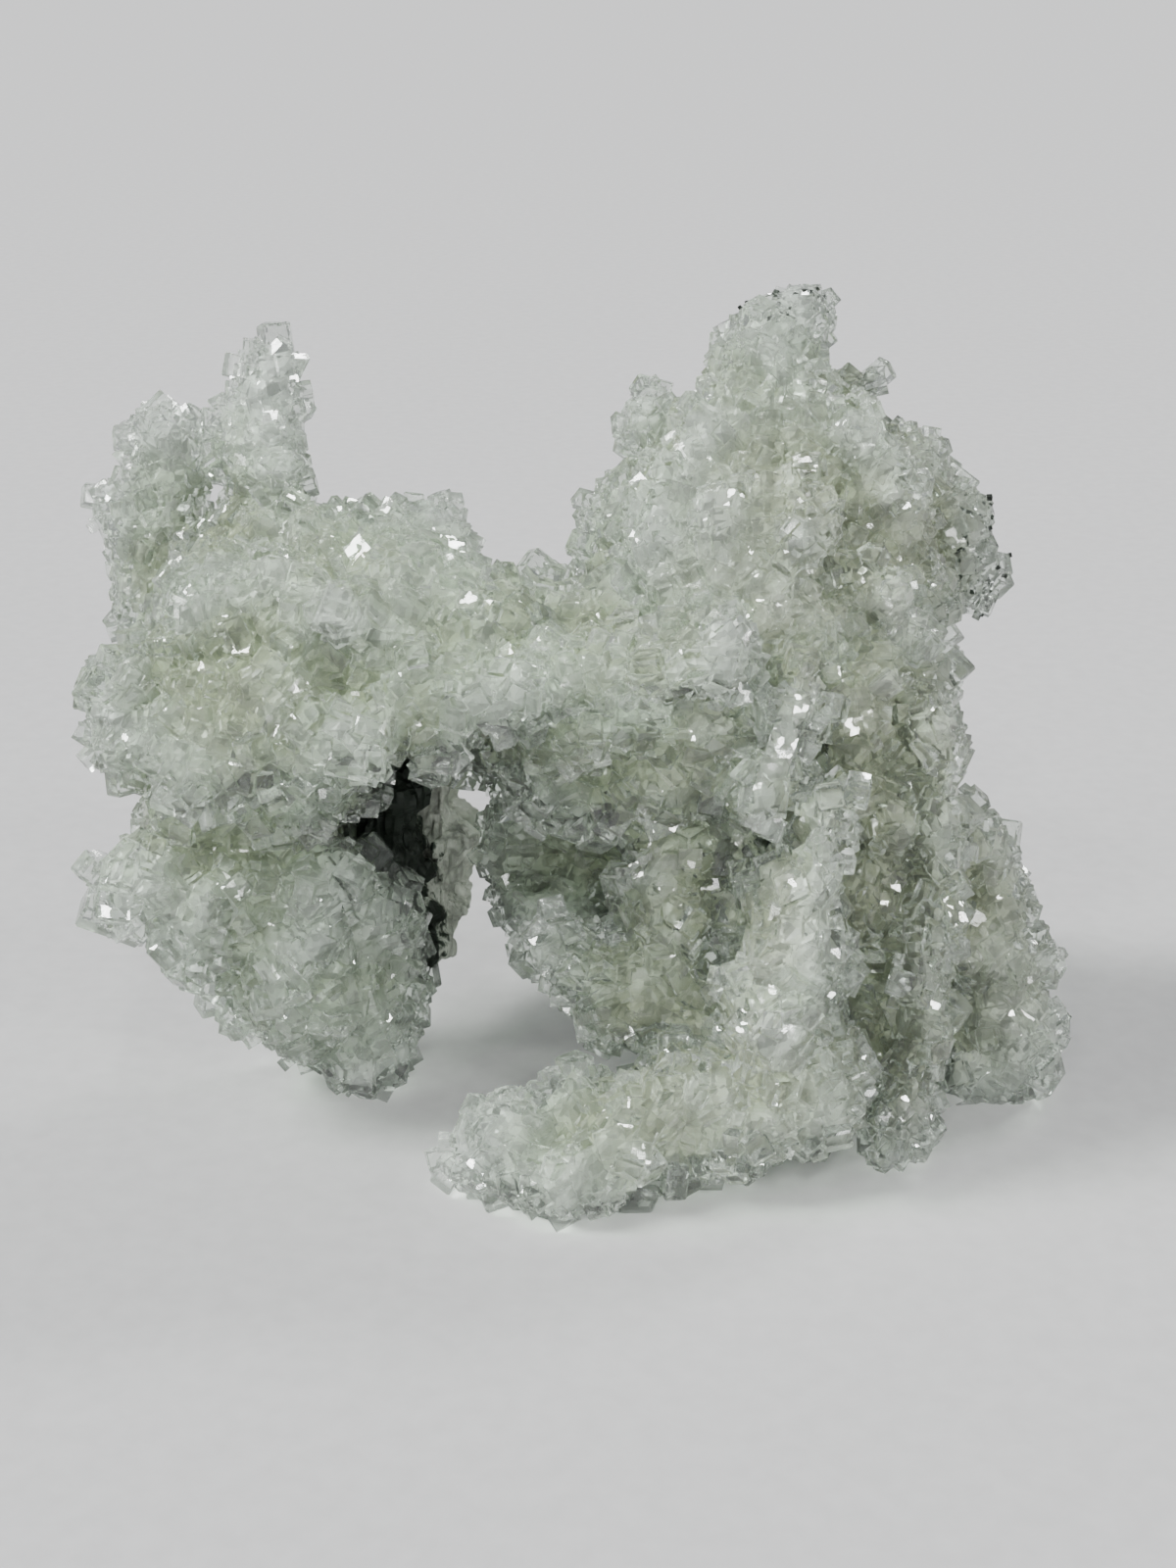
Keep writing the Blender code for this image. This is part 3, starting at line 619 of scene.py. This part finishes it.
def limb_skin(name, bars, inset, thinnest, seed, cell=SKIN_CELL):
    """Bars grown into one closed skin: their tubes remeshed together, smoothed, and made lumpy."""
    pieces, quads, fans, offset = [], [], [], 0
    for bar in bars:
        grid, ends = bar_points(bar, inset, thinnest)
        bar_quads, bar_fans = tube_faces(*grid.shape[:2])
        pieces.append(np.vstack([grid.reshape(-1, 3), *ends]))
        quads.append(bar_quads + offset)
        fans.append(bar_fans + offset)
        offset += len(pieces[-1])
    mesh = mesh_from(name, np.vstack(pieces), np.concatenate(quads), np.concatenate(fans))
    outward(mesh)
    skin = new_object(name, mesh)
    grow = skin.modifiers.new("grow_together", "REMESH")
    grow.mode = "VOXEL"
    grow.voxel_size = cell
    soften = skin.modifiers.new("soften_forks", "SMOOTH")
    soften.iterations = SKIN_SOFTENING
    apply_modifiers(skin)
    points, normals = vertex_values(skin.data, "co"), vertex_values(skin.data, "normal")
    height = sum(size * ripple(points, length, seed + k) for k, (length, size) in enumerate(LUMPS))
    move_points(skin.data, points + normals * height[:, None])
    return skin


def scatter(skin, spacing, rng):
    """Places spread over a skin: one for each small cell of space that the skin passes through."""
    points, triangles = vertex_values(skin.data, "co"), triangles_of(skin.data)
    corners = points[triangles]
    cross = np.cross(corners[:, 1] - corners[:, 0], corners[:, 2] - corners[:, 0])
    area = np.linalg.norm(cross, axis=1) / 2
    tries = int(TRIES_PER_CELL * area.sum() / spacing**2)
    chosen = rng.choice(len(area), tries, p=area / area.sum())
    weights = rng.dirichlet((1, 1, 1), tries)
    spots = (weights[:, :, None] * corners[chosen]).sum(axis=1)
    cells = np.floor(spots / spacing + rng.uniform(size=3)).astype(np.int64)
    _, kept = np.unique(cells, axis=0, return_index=True)
    return spots[kept], unit(cross[chosen[kept]])


def crystal_axes(spots, normals, rng, seed):
    """Three axes per crystal. Neighbours share a direction, and each leans and turns of its own."""
    growth = np.stack([ripple(spots, PATCH_LENGTH, seed + k) for k in range(3)], axis=1)
    upward = unit(normals + CRYSTAL_LEAN * rng.normal(size=normals.shape) + PATCH_LEAN * growth)
    sideways = unit(np.cross(upward, growth + CRYSTAL_TURN * rng.normal(size=normals.shape)))
    return np.stack([sideways, np.cross(upward, sideways), upward], axis=1)


def crystal_halves(count, size, rng):
    """Half edges of the crystals: most near the usual size, a few broad plates and large proud cubes."""
    half = size / 2 * rng.lognormal(0, SIZE_SPREAD, count).clip(SMALLEST, LARGEST)
    halves = half[:, None] * rng.uniform(*BLOCK_EDGES, (count, 3))
    kind = rng.uniform(size=count)
    plates, proud = kind < PLATE_SHARE, kind > 1 - PROUD_SHARE
    halves[plates] = size / 2 * rng.uniform(*PLATE_EDGES, (plates.sum(), 3))
    cubes = proud.sum()
    cube_sizes = size / 2 * rng.uniform(*PROUD_SIZE, (cubes, 1))
    halves[proud] = cube_sizes * rng.uniform(*PROUD_EDGES, (cubes, 3))
    return halves, plates, proud


def laid_crystals(limb_name):
    """Middles, axes and half edges of the crystals that are listed for a limb."""
    rows = np.array([row[1:] for row in LONG_CRYSTALS if row[0] == limb_name]).reshape(-1, 3, 3)
    along = unit(rows[:, 1])
    sideways = unit(np.cross(along, TURNED))
    axes = np.stack([sideways, np.cross(along, sideways), along], axis=1)
    return (rows[:, 0] + SHIFT) * MM, axes, rows[:, 2] * MM


def kept_inside(middles, axes, halves):
    """The crystals' middles, drawn in where one would pass the solids' box, but not at the ground."""
    reach = (np.abs(axes) * halves[..., None]).sum(axis=1)
    lowest = SOLID_BOX[0] + reach
    lowest[:, 2] = -math.inf
    return middles.clip(lowest, SOLID_BOX[1] - reach)


SIGNS = np.array([(x, y, z) for z in (-1, 1) for y in (-1, 1) for x in (-1, 1)], float)
BLOCK_QUADS = np.array(
    [(0, 2, 3, 1), (4, 5, 7, 6), (0, 1, 5, 4), (2, 6, 7, 3), (0, 4, 6, 2), (1, 3, 7, 5)],
)


def block_points(spots, axes, halves):
    """Plain blocks: the points (block, corner, xyz)."""
    return spots[:, None] + np.einsum("kc,nc,ncx->nkx", SIGNS, halves, axes)


def chamfered_points(spots, axes, halves):
    """Bevelled blocks: each corner is three points, each drawn in along two axes by the chamfer."""
    chamfer = CHAMFER * halves.min(axis=1)[:, None, None]
    corners = []
    for axis in range(3):
        drawn = SIGNS[None] * (halves[:, None] - chamfer * (np.arange(3) != axis))
        corners.append(np.einsum("nkc,ncx->nkx", drawn, axes))
    return spots[:, None] + np.concatenate(corners, axis=1)


def chamfered_faces():
    """The faces of one bevelled block: its six sides, a strip along each edge, a triangle per corner."""
    sides = BLOCK_QUADS + 8 * np.array([2, 2, 1, 1, 0, 0])[:, None]
    strips = []
    for first, second in ((0, 1), (0, 2), (1, 2)):
        step = 1 << (3 - first - second)
        starts = np.array([corner for corner in range(8) if not corner & step])
        near, far = 8 * first + starts, 8 * second + starts
        strips.append(np.stack([near, near + step, far + step, far], axis=1))
    corners = np.arange(8)[:, None] + 8 * np.arange(3)
    return np.concatenate([sides, *strips]), corners


def repeated(points, faces, offset=0):
    """The faces of one piece repeated for each piece of the points (piece, corner, xyz)."""
    count, corners = points.shape[:2]
    starts = corners * np.arange(count)[:, None, None] + offset
    return (faces[None] + starts).reshape(-1, faces.shape[1])


def crystals_mesh(spots, axes, halves, bevelled):
    """One mesh of separate crystals, plain or bevelled."""
    plain = block_points(spots[~bevelled], axes[~bevelled], halves[~bevelled])
    cut = chamfered_points(spots[bevelled], axes[bevelled], halves[bevelled])
    sides, corners = chamfered_faces()
    offset = plain.shape[0] * plain.shape[1]
    points = np.vstack([plain.reshape(-1, 3), cut.reshape(-1, 3)])
    quads = np.concatenate([repeated(plain, BLOCK_QUADS), repeated(cut, sides, offset)])
    mesh = mesh_from("crystals", points, quads, repeated(cut, corners, offset))
    outward(mesh)
    return mesh


def groups_apart(spots, reaches):
    """Numbers for the crystals, so that crystals of one number never touch each other."""
    tree = KDTree(len(spots))
    for index, spot in enumerate(spots):
        tree.insert(spot, index)
    tree.balance()
    number = np.full(len(spots), -1)
    widest = reaches.max()
    for index, spot in enumerate(spots):
        near = tree.find_range(spot, reaches[index] + widest)
        taken = {number[other] for _, other, gap in near if gap < reaches[index] + reaches[other]}
        choice = 0
        while choice in taken:
            choice += 1
        number[index] = choice
    return number


def combine(obj, mesh, operation):
    """Joins a mesh to an object, or cuts it out."""
    tool = new_object("tool", mesh)
    boolean = obj.modifiers.new("combine", "BOOLEAN")
    boolean.operation = operation
    boolean.solver = "MANIFOLD"
    boolean.object = tool
    apply_modifiers(obj)
    bpy.data.objects.remove(tool)


def cut_foot(piece):
    """Cuts away what lies under the ground."""
    if vertex_values(piece.data, "co")[:, 2].min() < 0:
        half = 100 * MM
        block = block_points(np.array([(0, 0, -half)]), np.eye(3)[None], np.full((1, 3), half))
        combine(piece, mesh_from("ground", block[0], BLOCK_QUADS), "DIFFERENCE")


def set_values(piece, name, values):
    """Stores one number per vertex, for the materials to read by name."""
    attribute = piece.data.attributes.new(name, "FLOAT", "POINT")
    attribute.data.foreach_set("value", np.asarray(values, np.float32))


def finish_piece(piece, name, node, material):
    """Keeps the piece inside the solids' box, names it, and hangs it on the frame."""
    points = vertex_values(piece.data, "co")
    move_points(piece.data, points.clip(*SOLID_BOX))
    piece.data.shade_flat()
    piece.name = piece.data.name = name
    piece.data.materials.clear()
    piece.data.materials.append(material)
    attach(piece, "root")
    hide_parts(node)


def grow_core(limb, number, settings, material):
    """The milky body of a limb."""
    node = limb.__name__
    bars = limb() + SEAMS.get(node, [])
    inset = CRUST_INSET + settings.crust_depth
    core = limb_skin(node + "_core", bars, inset, THINNEST_CORE, SKIN_SEED_STEP * number)
    cut_foot(core)
    # The shelter of each point sets how much painted shade the milk gets there
    set_values(core, "shelter", shelter_of(vertex_values(core.data, "co")))
    finish_piece(core, node + "_core", node, material)


def grow_crust(limb, number, settings, material):
    """The skin of a limb with its crystals fused to it, one group of separate crystals at a time."""
    node = limb.__name__
    bars = limb() + SEAMS.get(node, [])
    crust = limb_skin(node + "_crust", bars, CRUST_INSET, THINNEST_CRUST, SKIN_SEED_STEP * number)
    rng = np.random.default_rng(SEED + number)
    fineness = FINENESS.get(node, 1)
    size = fineness * settings.crystal_size
    spots, normals = scatter(crust, fineness * settings.crystal_spacing, rng)
    halves, plates, proud = crystal_halves(len(spots), size, rng)
    axes = crystal_axes(spots, normals, rng, number)
    lift = np.where(plates, PLATE_LIFT, rng.uniform(*CRYSTAL_LIFT, len(spots)))
    lift[proud] = rng.uniform(*PROUD_LIFT, proud.sum())
    middles = spots + normals * (lift * halves[:, 2])[:, None]
    laid = laid_crystals(node)
    middles, axes, halves = (np.concatenate(pair) for pair in zip((middles, axes, halves), laid))
    plates = np.concatenate([plates, np.zeros(len(laid[0]), bool)])
    middles = kept_inside(middles, axes, halves)
    bevelled = (halves.min(axis=1) > CHAMFERED_FROM * size / 2) & ~plates
    numbers = groups_apart(middles, np.linalg.norm(halves, axis=1))
    for group in range(numbers.max() + 1):
        chosen = numbers == group
        crystals = crystals_mesh(*(values[chosen] for values in (middles, axes, halves, bevelled)))
        combine(crust, crystals, "UNION")
    cut_foot(crust)
    finish_piece(crust, node + "_crust", node, material)


class Tree:
    """Short calls for building a node tree."""

    def __init__(self, tree):
        self.nodes = tree.nodes
        self.links = tree.links

    def add(self, kind, settings=(), **inputs):
        node = self.nodes.new(kind)
        for name, value in dict(settings).items():
            setattr(node, name, value)
        for name, value in inputs.items():
            self.put(node.inputs[name.replace("_", " ")], value)
        return node

    def work_out(self, kind, operation, values):
        node = self.add(kind, {"operation": operation})
        for socket, value in zip(node.inputs, values):
            self.put(socket, value)
        return node.outputs[0]

    def math(self, operation, *values):
        return self.work_out("ShaderNodeMath", operation, values)

    def vector_math(self, operation, *values):
        return self.work_out("ShaderNodeVectorMath", operation, values)

    def scaled(self, vector, scale):
        node = self.add("ShaderNodeVectorMath", {"operation": "SCALE"}, Vector=vector, Scale=scale)
        return node.outputs[0]

    def place(self):
        """Object coordinates."""
        return self.add("ShaderNodeTexCoord").outputs["Object"]

    def noise(self, vector, scale, **inputs):
        return self.add("ShaderNodeTexNoise", Vector=vector, Scale=scale, **inputs).outputs["Fac"]

    def mapped(self, value, start=(0, 1), end=(0, 1)):
        """A value spread from one range over another, and kept inside it."""
        node = self.add(
            "ShaderNodeMapRange", Value=value,
            From_Min=start[0], From_Max=start[1], To_Min=end[0], To_Max=end[1],
        )
        return node.outputs[0]

    def ramp(self, value, *stops):
        """A colour ramp over (position, colour) stops."""
        node = self.add("ShaderNodeValToRGB", Fac=value)
        elements = node.color_ramp.elements
        while len(elements) < len(stops):
            elements.new(0.5)
        for element, (position, colour) in zip(elements, stops):
            element.position, element.color = position, (*colour, 1)
        return node.outputs["Color"]

    def put(self, socket, value):
        if hasattr(value, "links"):
            self.links.new(value, socket)
        else:
            socket.default_value = value


def new_material(name):
    """A material, the calls that build its nodes, and its shader."""
    material = bpy.data.materials.new(name)
    material.use_nodes = True
    return material, Tree(material.node_tree), material.node_tree.nodes["Principled BSDF"]


@lru_cache(maxsize=1)
def facet_group():
    """Small flat facets: each cell of a pattern turns the normal its own way and has its own tone."""
    group = bpy.data.node_groups.new("crystal_facets", "ShaderNodeTree")
    for name, side, kind in (
        ("Vector", "INPUT", "Vector"), ("Scale", "INPUT", "Float"), ("Tilt", "INPUT", "Float"),
        ("Normal", "OUTPUT", "Vector"), ("Tone", "OUTPUT", "Float"),
    ):
        group.interface.new_socket(name=name, in_out=side, socket_type="NodeSocket" + kind)
    tree = Tree(group)
    given = tree.add("NodeGroupInput").outputs
    voronoi = tree.add(
        "ShaderNodeTexVoronoi", {"distance": "CHEBYCHEV"}, Vector=given["Vector"], Scale=given["Scale"],
    )
    cells = voronoi.outputs["Color"]
    turned = tree.scaled(tree.vector_math("SUBTRACT", cells, (0.5, 0.5, 0.5)), given["Tilt"])
    upright = tree.add("ShaderNodeNewGeometry").outputs["Normal"]
    normal = tree.vector_math("NORMALIZE", tree.vector_math("ADD", turned, upright))
    tone = tree.add("ShaderNodeSeparateColor", Color=cells).outputs[0]
    tree.add("NodeGroupOutput", Normal=normal, Tone=tone)
    return group


def facets(tree, scale, tilt):
    """The facet pattern in a material, on Object coordinates."""
    node = tree.nodes.new("ShaderNodeGroup")
    node.node_tree = facet_group()
    tree.put(node.inputs["Vector"], tree.place())
    node.inputs["Scale"].default_value = scale
    node.inputs["Tilt"].default_value = tilt
    return node.outputs


@lru_cache(maxsize=1)
def crust_glass():
    """Clear prehnite: glass with a green tint in its depth, which lets light through to the milk."""
    settings = bpy.context.scene.prehnite_growth
    material, tree, shader = new_material("prehnite_glass")
    shader.inputs["IOR"].default_value = PREHNITE_IOR
    shader.inputs["Specular IOR Level"].default_value = GLASS_REFLECTION
    shader.inputs["Transmission Weight"].default_value = GLASS_CLEARNESS
    cells = facets(tree, *GLASS_FACETS)
    patches = facets(tree, GLASS_PATCHES, 0.0)["Tone"]
    tone = tree.math("MULTIPLY_ADD", patches, TONE_BY_PATCH, GLASS_TONE)
    clearness = tree.math("MULTIPLY_ADD", cells["Tone"], TONE_BY_FACET, tone)
    tree.put(shader.inputs["Base Color"], tree.scaled(tuple(settings.glass_colour), clearness))
    clouds = tree.noise(tree.place(), FROST_CLOUDS, Detail=3.0)
    frost = tree.math("MULTIPLY_ADD", patches, FROST_BY_PATCH, clouds)
    tree.put(shader.inputs["Roughness"], tree.mapped(frost, FROST_RANGE, GLASS_POLISH))
    tree.put(shader.inputs["Normal"], cells["Normal"])
    shadow = tree.add("ShaderNodeLightPath").outputs["Is Shadow Ray"]
    clear = tree.add("ShaderNodeBsdfTransparent", Color=GLASS_SHADOW).outputs[0]
    mix = tree.add("ShaderNodeMixShader", Fac=shadow)
    tree.put(mix.inputs[1], shader.outputs[0])
    tree.put(mix.inputs[2], clear)
    output = tree.nodes["Material Output"]
    tree.put(output.inputs["Surface"], mix.outputs[0])
    tint = tree.add("ShaderNodeVolumeAbsorption", Color=(*settings.tint, 1), Density=TINT_DENSITY)
    tree.put(output.inputs["Volume"], tint.outputs[0])
    return material


@lru_cache(maxsize=1)
def core_milk():
    """Milky prehnite, mint on the left and olive on the right, with painted shade: palest on open crests,
    darker and greener the more sheltered a place is.
    """
    settings = bpy.context.scene.prehnite_growth
    material, tree, shader = new_material("prehnite_milk")
    place = tree.place()
    # Painted shade: the shelter, with clouds, picks how dark and green the milk is from the ramps below
    shelter = tree.add("ShaderNodeAttribute", {"attribute_name": "shelter"}).outputs["Fac"]
    depth = tree.math("MULTIPLY_ADD", tree.noise(place, MILK_CLOUDS, Detail=3.0), CLOUD_DEPTH, shelter)
    mint, olive = (
        tree.ramp(depth, *zip(MILK_STOPS, (settings.crest_colour, flank, recess)))
        for flank, recess in (
            (settings.mint_colour, settings.mint_painted_shade), (settings.olive_colour, settings.olive_painted_shade),
        )
    )
    right, _, height = tree.add("ShaderNodeSeparateXYZ", Vector=place).outputs
    drifted = tree.math("MULTIPLY_ADD", tree.noise(place, OLIVE_CLOUDS), OLIVE_DRIFT, right)
    olive_share = tree.math("MULTIPLY", tree.mapped(drifted, OLIVE_EDGE), tree.mapped(height, OLIVE_TOP))
    colour = tree.add("ShaderNodeMixRGB", Fac=olive_share, Color1=mint, Color2=olive).outputs[0]
    cells = facets(tree, *MILK_FACETS)
    tone = tree.mapped(cells["Tone"], end=MILK_TONE)
    tree.put(shader.inputs["Base Color"], tree.scaled(colour, tone))
    tree.put(shader.inputs["Normal"], cells["Normal"])
    shader.inputs["Roughness"].default_value = MILK_ROUGHNESS
    shader.inputs["IOR"].default_value = MILK_IOR
    return material


def rock_skin():
    """The matrix remnant: its two bars, with ripples stretched along them as fibres.

    The bleach of a place is 0 beside the middle of the dark sliver and 1 beside that of the patch.
    """
    rock = limb_skin("matrix", matrix_remnant(), ROCK_INSET, THINNEST_CRUST, ROCK_SEED, ROCK_CELL)
    points, normals = vertex_values(rock.data, "co"), vertex_values(rock.data, "normal")
    fibres = sum(
        height * ripple(points, width * FIBRE_WIDTH, ROCK_SEED + SKIN_SEED_STEP + k, (1, 1, length))
        for k, (width, height, length) in enumerate(FIBRES)
    )
    move_points(rock.data, points + normals * (FIBRE_HEIGHT * fibres)[:, None])
    sliver, patch = (bar_points(bar)[0].reshape(-1, 3).mean(axis=0) for bar in matrix_remnant())
    across = (points - sliver) @ unit(patch - sliver) / np.linalg.norm(patch - sliver)
    set_values(rock, "bleach", across)
    return rock


def grown_grains():
    """Dark grains: small blocks on chance points of the tower's right rim and peak."""
    points = vertex_values(bpy.data.objects["tower_crust"].data, "co")
    rims = points[(points[:, 0] > GRAIN_RIM) | (points[:, 2] > GRAIN_PEAK)]
    rng = np.random.default_rng(SEED)
    spots = rims[rng.choice(len(rims), GRAINS, replace=False)]
    sideways = unit(rng.normal(size=spots.shape))
    upward = unit(np.cross(sideways, rng.normal(size=spots.shape)))
    axes = np.stack([sideways, np.cross(upward, sideways), upward], axis=1)
    halves = rng.uniform(*GRAIN_SIZE, (len(spots), 1)) * rng.uniform(*GRAIN_EDGES, (len(spots), 3))
    apart = groups_apart(spots, np.linalg.norm(halves, axis=1)) == 0
    return crystals_mesh(spots[apart], axes[apart], halves[apart], np.zeros(apart.sum(), bool))


@lru_cache(maxsize=1)
def matrix_rock():
    """Dark fibrous rock with pale streaks between its fibres, bleached towards one side."""
    settings = bpy.context.scene.prehnite_matrix
    material, tree, shader = new_material("matrix_rock")
    place = tree.place()
    squashed = tree.add("ShaderNodeMapping", Vector=place, Scale=(1, 1, STRAND_SQUASH)).outputs[0]
    strands = tree.noise(squashed, STRANDS, Detail=5.0, Roughness=0.65)
    blotches = tree.noise(place, BLOTCHES, Detail=4.0)
    bleach = tree.add("ShaderNodeAttribute", {"attribute_name": "bleach"}).outputs["Fac"]
    bleached = tree.math("MULTIPLY_ADD", bleach, BLEACH_WEIGHT, BLEACH_OFFSET)
    ragged = tree.math("MULTIPLY_ADD", blotches, BLOTCH_WEIGHT, bleached)
    pale = tree.math("MULTIPLY_ADD", strands, STRAND_WEIGHT, ragged)
    colours = {"rock": settings.rock_colour, "vein": settings.vein_colour}
    stops = [(stop, [share * part for part in colours[kind]]) for stop, kind, share in ROCK_STOPS]
    tree.put(shader.inputs["Base Color"], tree.ramp(pale, *stops))
    tree.put(shader.inputs["Roughness"], tree.mapped(strands, end=ROCK_POLISH))
    bump = tree.add("ShaderNodeBump", Height=strands, Strength=0.6, Distance=STRAND_BUMP)
    tree.put(shader.inputs["Normal"], bump.outputs[0])
    return material


def sun(name, direction, strength, width):
    """A lamp like a sun, which shines from a direction and looks some degrees wide."""
    light = bpy.data.lights.new(name, "SUN")
    light.energy = strength
    light.angle = math.radians(width)
    lamp = new_object(name, light)
    lamp.location = direction
    lamp.rotation_mode = "QUATERNION"
    lamp.rotation_quaternion = (-Vector(direction)).to_track_quat("-Z", "Y")


def floor_material(settings):
    """A plain floor with a faint grain."""
    material, tree, shader = new_material("floor")
    grain = tree.noise(tree.place(), FLOOR_GRAIN, Detail=2.0)
    dark, light = ([tone * part for part in settings.floor_colour] for tone in FLOOR_TONES)
    tree.put(shader.inputs["Base Color"], tree.ramp(grain, (0.3, dark), (0.7, light)))
    shader.inputs["Roughness"].default_value = FLOOR_ROUGHNESS
    return material


class PREHNITE_OT_cores(bpy.types.Operator):
    """Grow the milky core of every limb"""

    bl_idname = "prehnite.cores"
    bl_label = "Grow milky cores"

    def execute(self, context):
        for number, limb in enumerate(LIMBS):
            grow_core(limb, number, context.scene.prehnite_growth, core_milk())
        return {"FINISHED"}


class PREHNITE_OT_crusts(bpy.types.Operator):
    """Grow the glassy crust of crystals round every limb"""

    bl_idname = "prehnite.crusts"
    bl_label = "Grow crystal crusts"

    def execute(self, context):
        for number, limb in enumerate(LIMBS):
            grow_crust(limb, number, context.scene.prehnite_growth, crust_glass())
        return {"FINISHED"}


class PREHNITE_OT_matrix(bpy.types.Operator):
    """Lay in the remnant of fibrous rock and scatter its grains on the tower"""

    bl_idname = "prehnite.matrix"
    bl_label = "Lay in the matrix"

    def execute(self, context):
        rock = rock_skin()
        finish_piece(rock, "matrix_rock", "matrix_remnant", matrix_rock())
        grains = new_object("matrix_grains", grown_grains())
        finish_piece(grains, "matrix_grains", "matrix_remnant", matrix_rock())
        return {"FINISHED"}


class PREHNITE_OT_stage(bpy.types.Operator):
    """Set up the plain floor, the lamps and the camera"""

    bl_idname = "prehnite.stage"
    bl_label = "Set the stage"

    def execute(self, context):
        settings = context.scene.prehnite_stage
        corners = FLOOR_HALF * np.array([(-1, -1, 0), (1, -1, 0), (1, 1, 0), (-1, 1, 0)])
        floor = new_object("floor", mesh_from("floor", corners, np.array([(0, 1, 2, 3)])))
        floor.data.materials.append(floor_material(settings))
        world = bpy.data.worlds.new("room")
        world.use_nodes = True
        tree = Tree(world.node_tree)
        seen = tree.add("ShaderNodeLightPath").outputs["Is Camera Ray"]
        room = world.node_tree.nodes["Background"]
        room.inputs["Color"].default_value = ROOM_COLOUR
        brightness = tree.mapped(seen, end=(settings.room_light, settings.backdrop_light))
        tree.put(room.inputs["Strength"], brightness)
        context.scene.world = world
        for name, direction, share, width in SUNS:
            sun(name, direction, share * settings.key_light, width)
        context.scene.view_settings.look = "AgX - Medium High Contrast"
        camera = bpy.data.cameras.new("camera")
        camera.lens = CAMERA_LENS
        camera.clip_start = 0.01
        view = new_object("camera", camera)
        view.location = (np.array(CAMERA_PLACE) + SHIFT) * MM
        view.rotation_euler = (math.radians(90 - CAMERA_DIP), 0, 0)
        context.scene.camera = view
        return {"FINISHED"}


class PREHNITE_PT_panel(bpy.types.Panel):
    """The steps of the specimen, with their sizes and colours"""

    bl_idname = "PREHNITE_PT_panel"
    bl_label = "Prehnite specimen"
    bl_space_type = "VIEW_3D"
    bl_region_type = "UI"
    bl_category = "Prehnite"

    def draw(self, context):
        scene = context.scene
        for title, settings, operators in (
            ("Growth", scene.prehnite_growth, (PREHNITE_OT_cores, PREHNITE_OT_crusts)),
            ("Matrix", scene.prehnite_matrix, (PREHNITE_OT_matrix,)),
            ("Stage", scene.prehnite_stage, (PREHNITE_OT_stage,)),
        ):
            box = self.layout.box()
            box.label(text=title)
            for name in settings.__annotations__:
                box.prop(settings, name)
            for operator in operators:
                box.operator(operator.bl_idname)


CLASSES = (
    GrowthSettings, MatrixSettings, StageSettings,
    PREHNITE_OT_cores, PREHNITE_OT_crusts, PREHNITE_OT_matrix, PREHNITE_OT_stage, PREHNITE_PT_panel,
)


def register():
    for each in CLASSES:
        bpy.utils.register_class(each)
    bpy.types.Scene.prehnite_growth = bpy.props.PointerProperty(type=GrowthSettings)
    bpy.types.Scene.prehnite_matrix = bpy.props.PointerProperty(type=MatrixSettings)
    bpy.types.Scene.prehnite_stage = bpy.props.PointerProperty(type=StageSettings)


def unregister():
    del bpy.types.Scene.prehnite_stage, bpy.types.Scene.prehnite_matrix, bpy.types.Scene.prehnite_growth
    for each in reversed(CLASSES):
        bpy.utils.unregister_class(each)


def main():
    register()
    bpy.ops.prehnite.cores()
    bpy.ops.prehnite.crusts()
    bpy.ops.prehnite.matrix()
    bpy.ops.prehnite.stage()


if __name__ == "__main__":
    main()
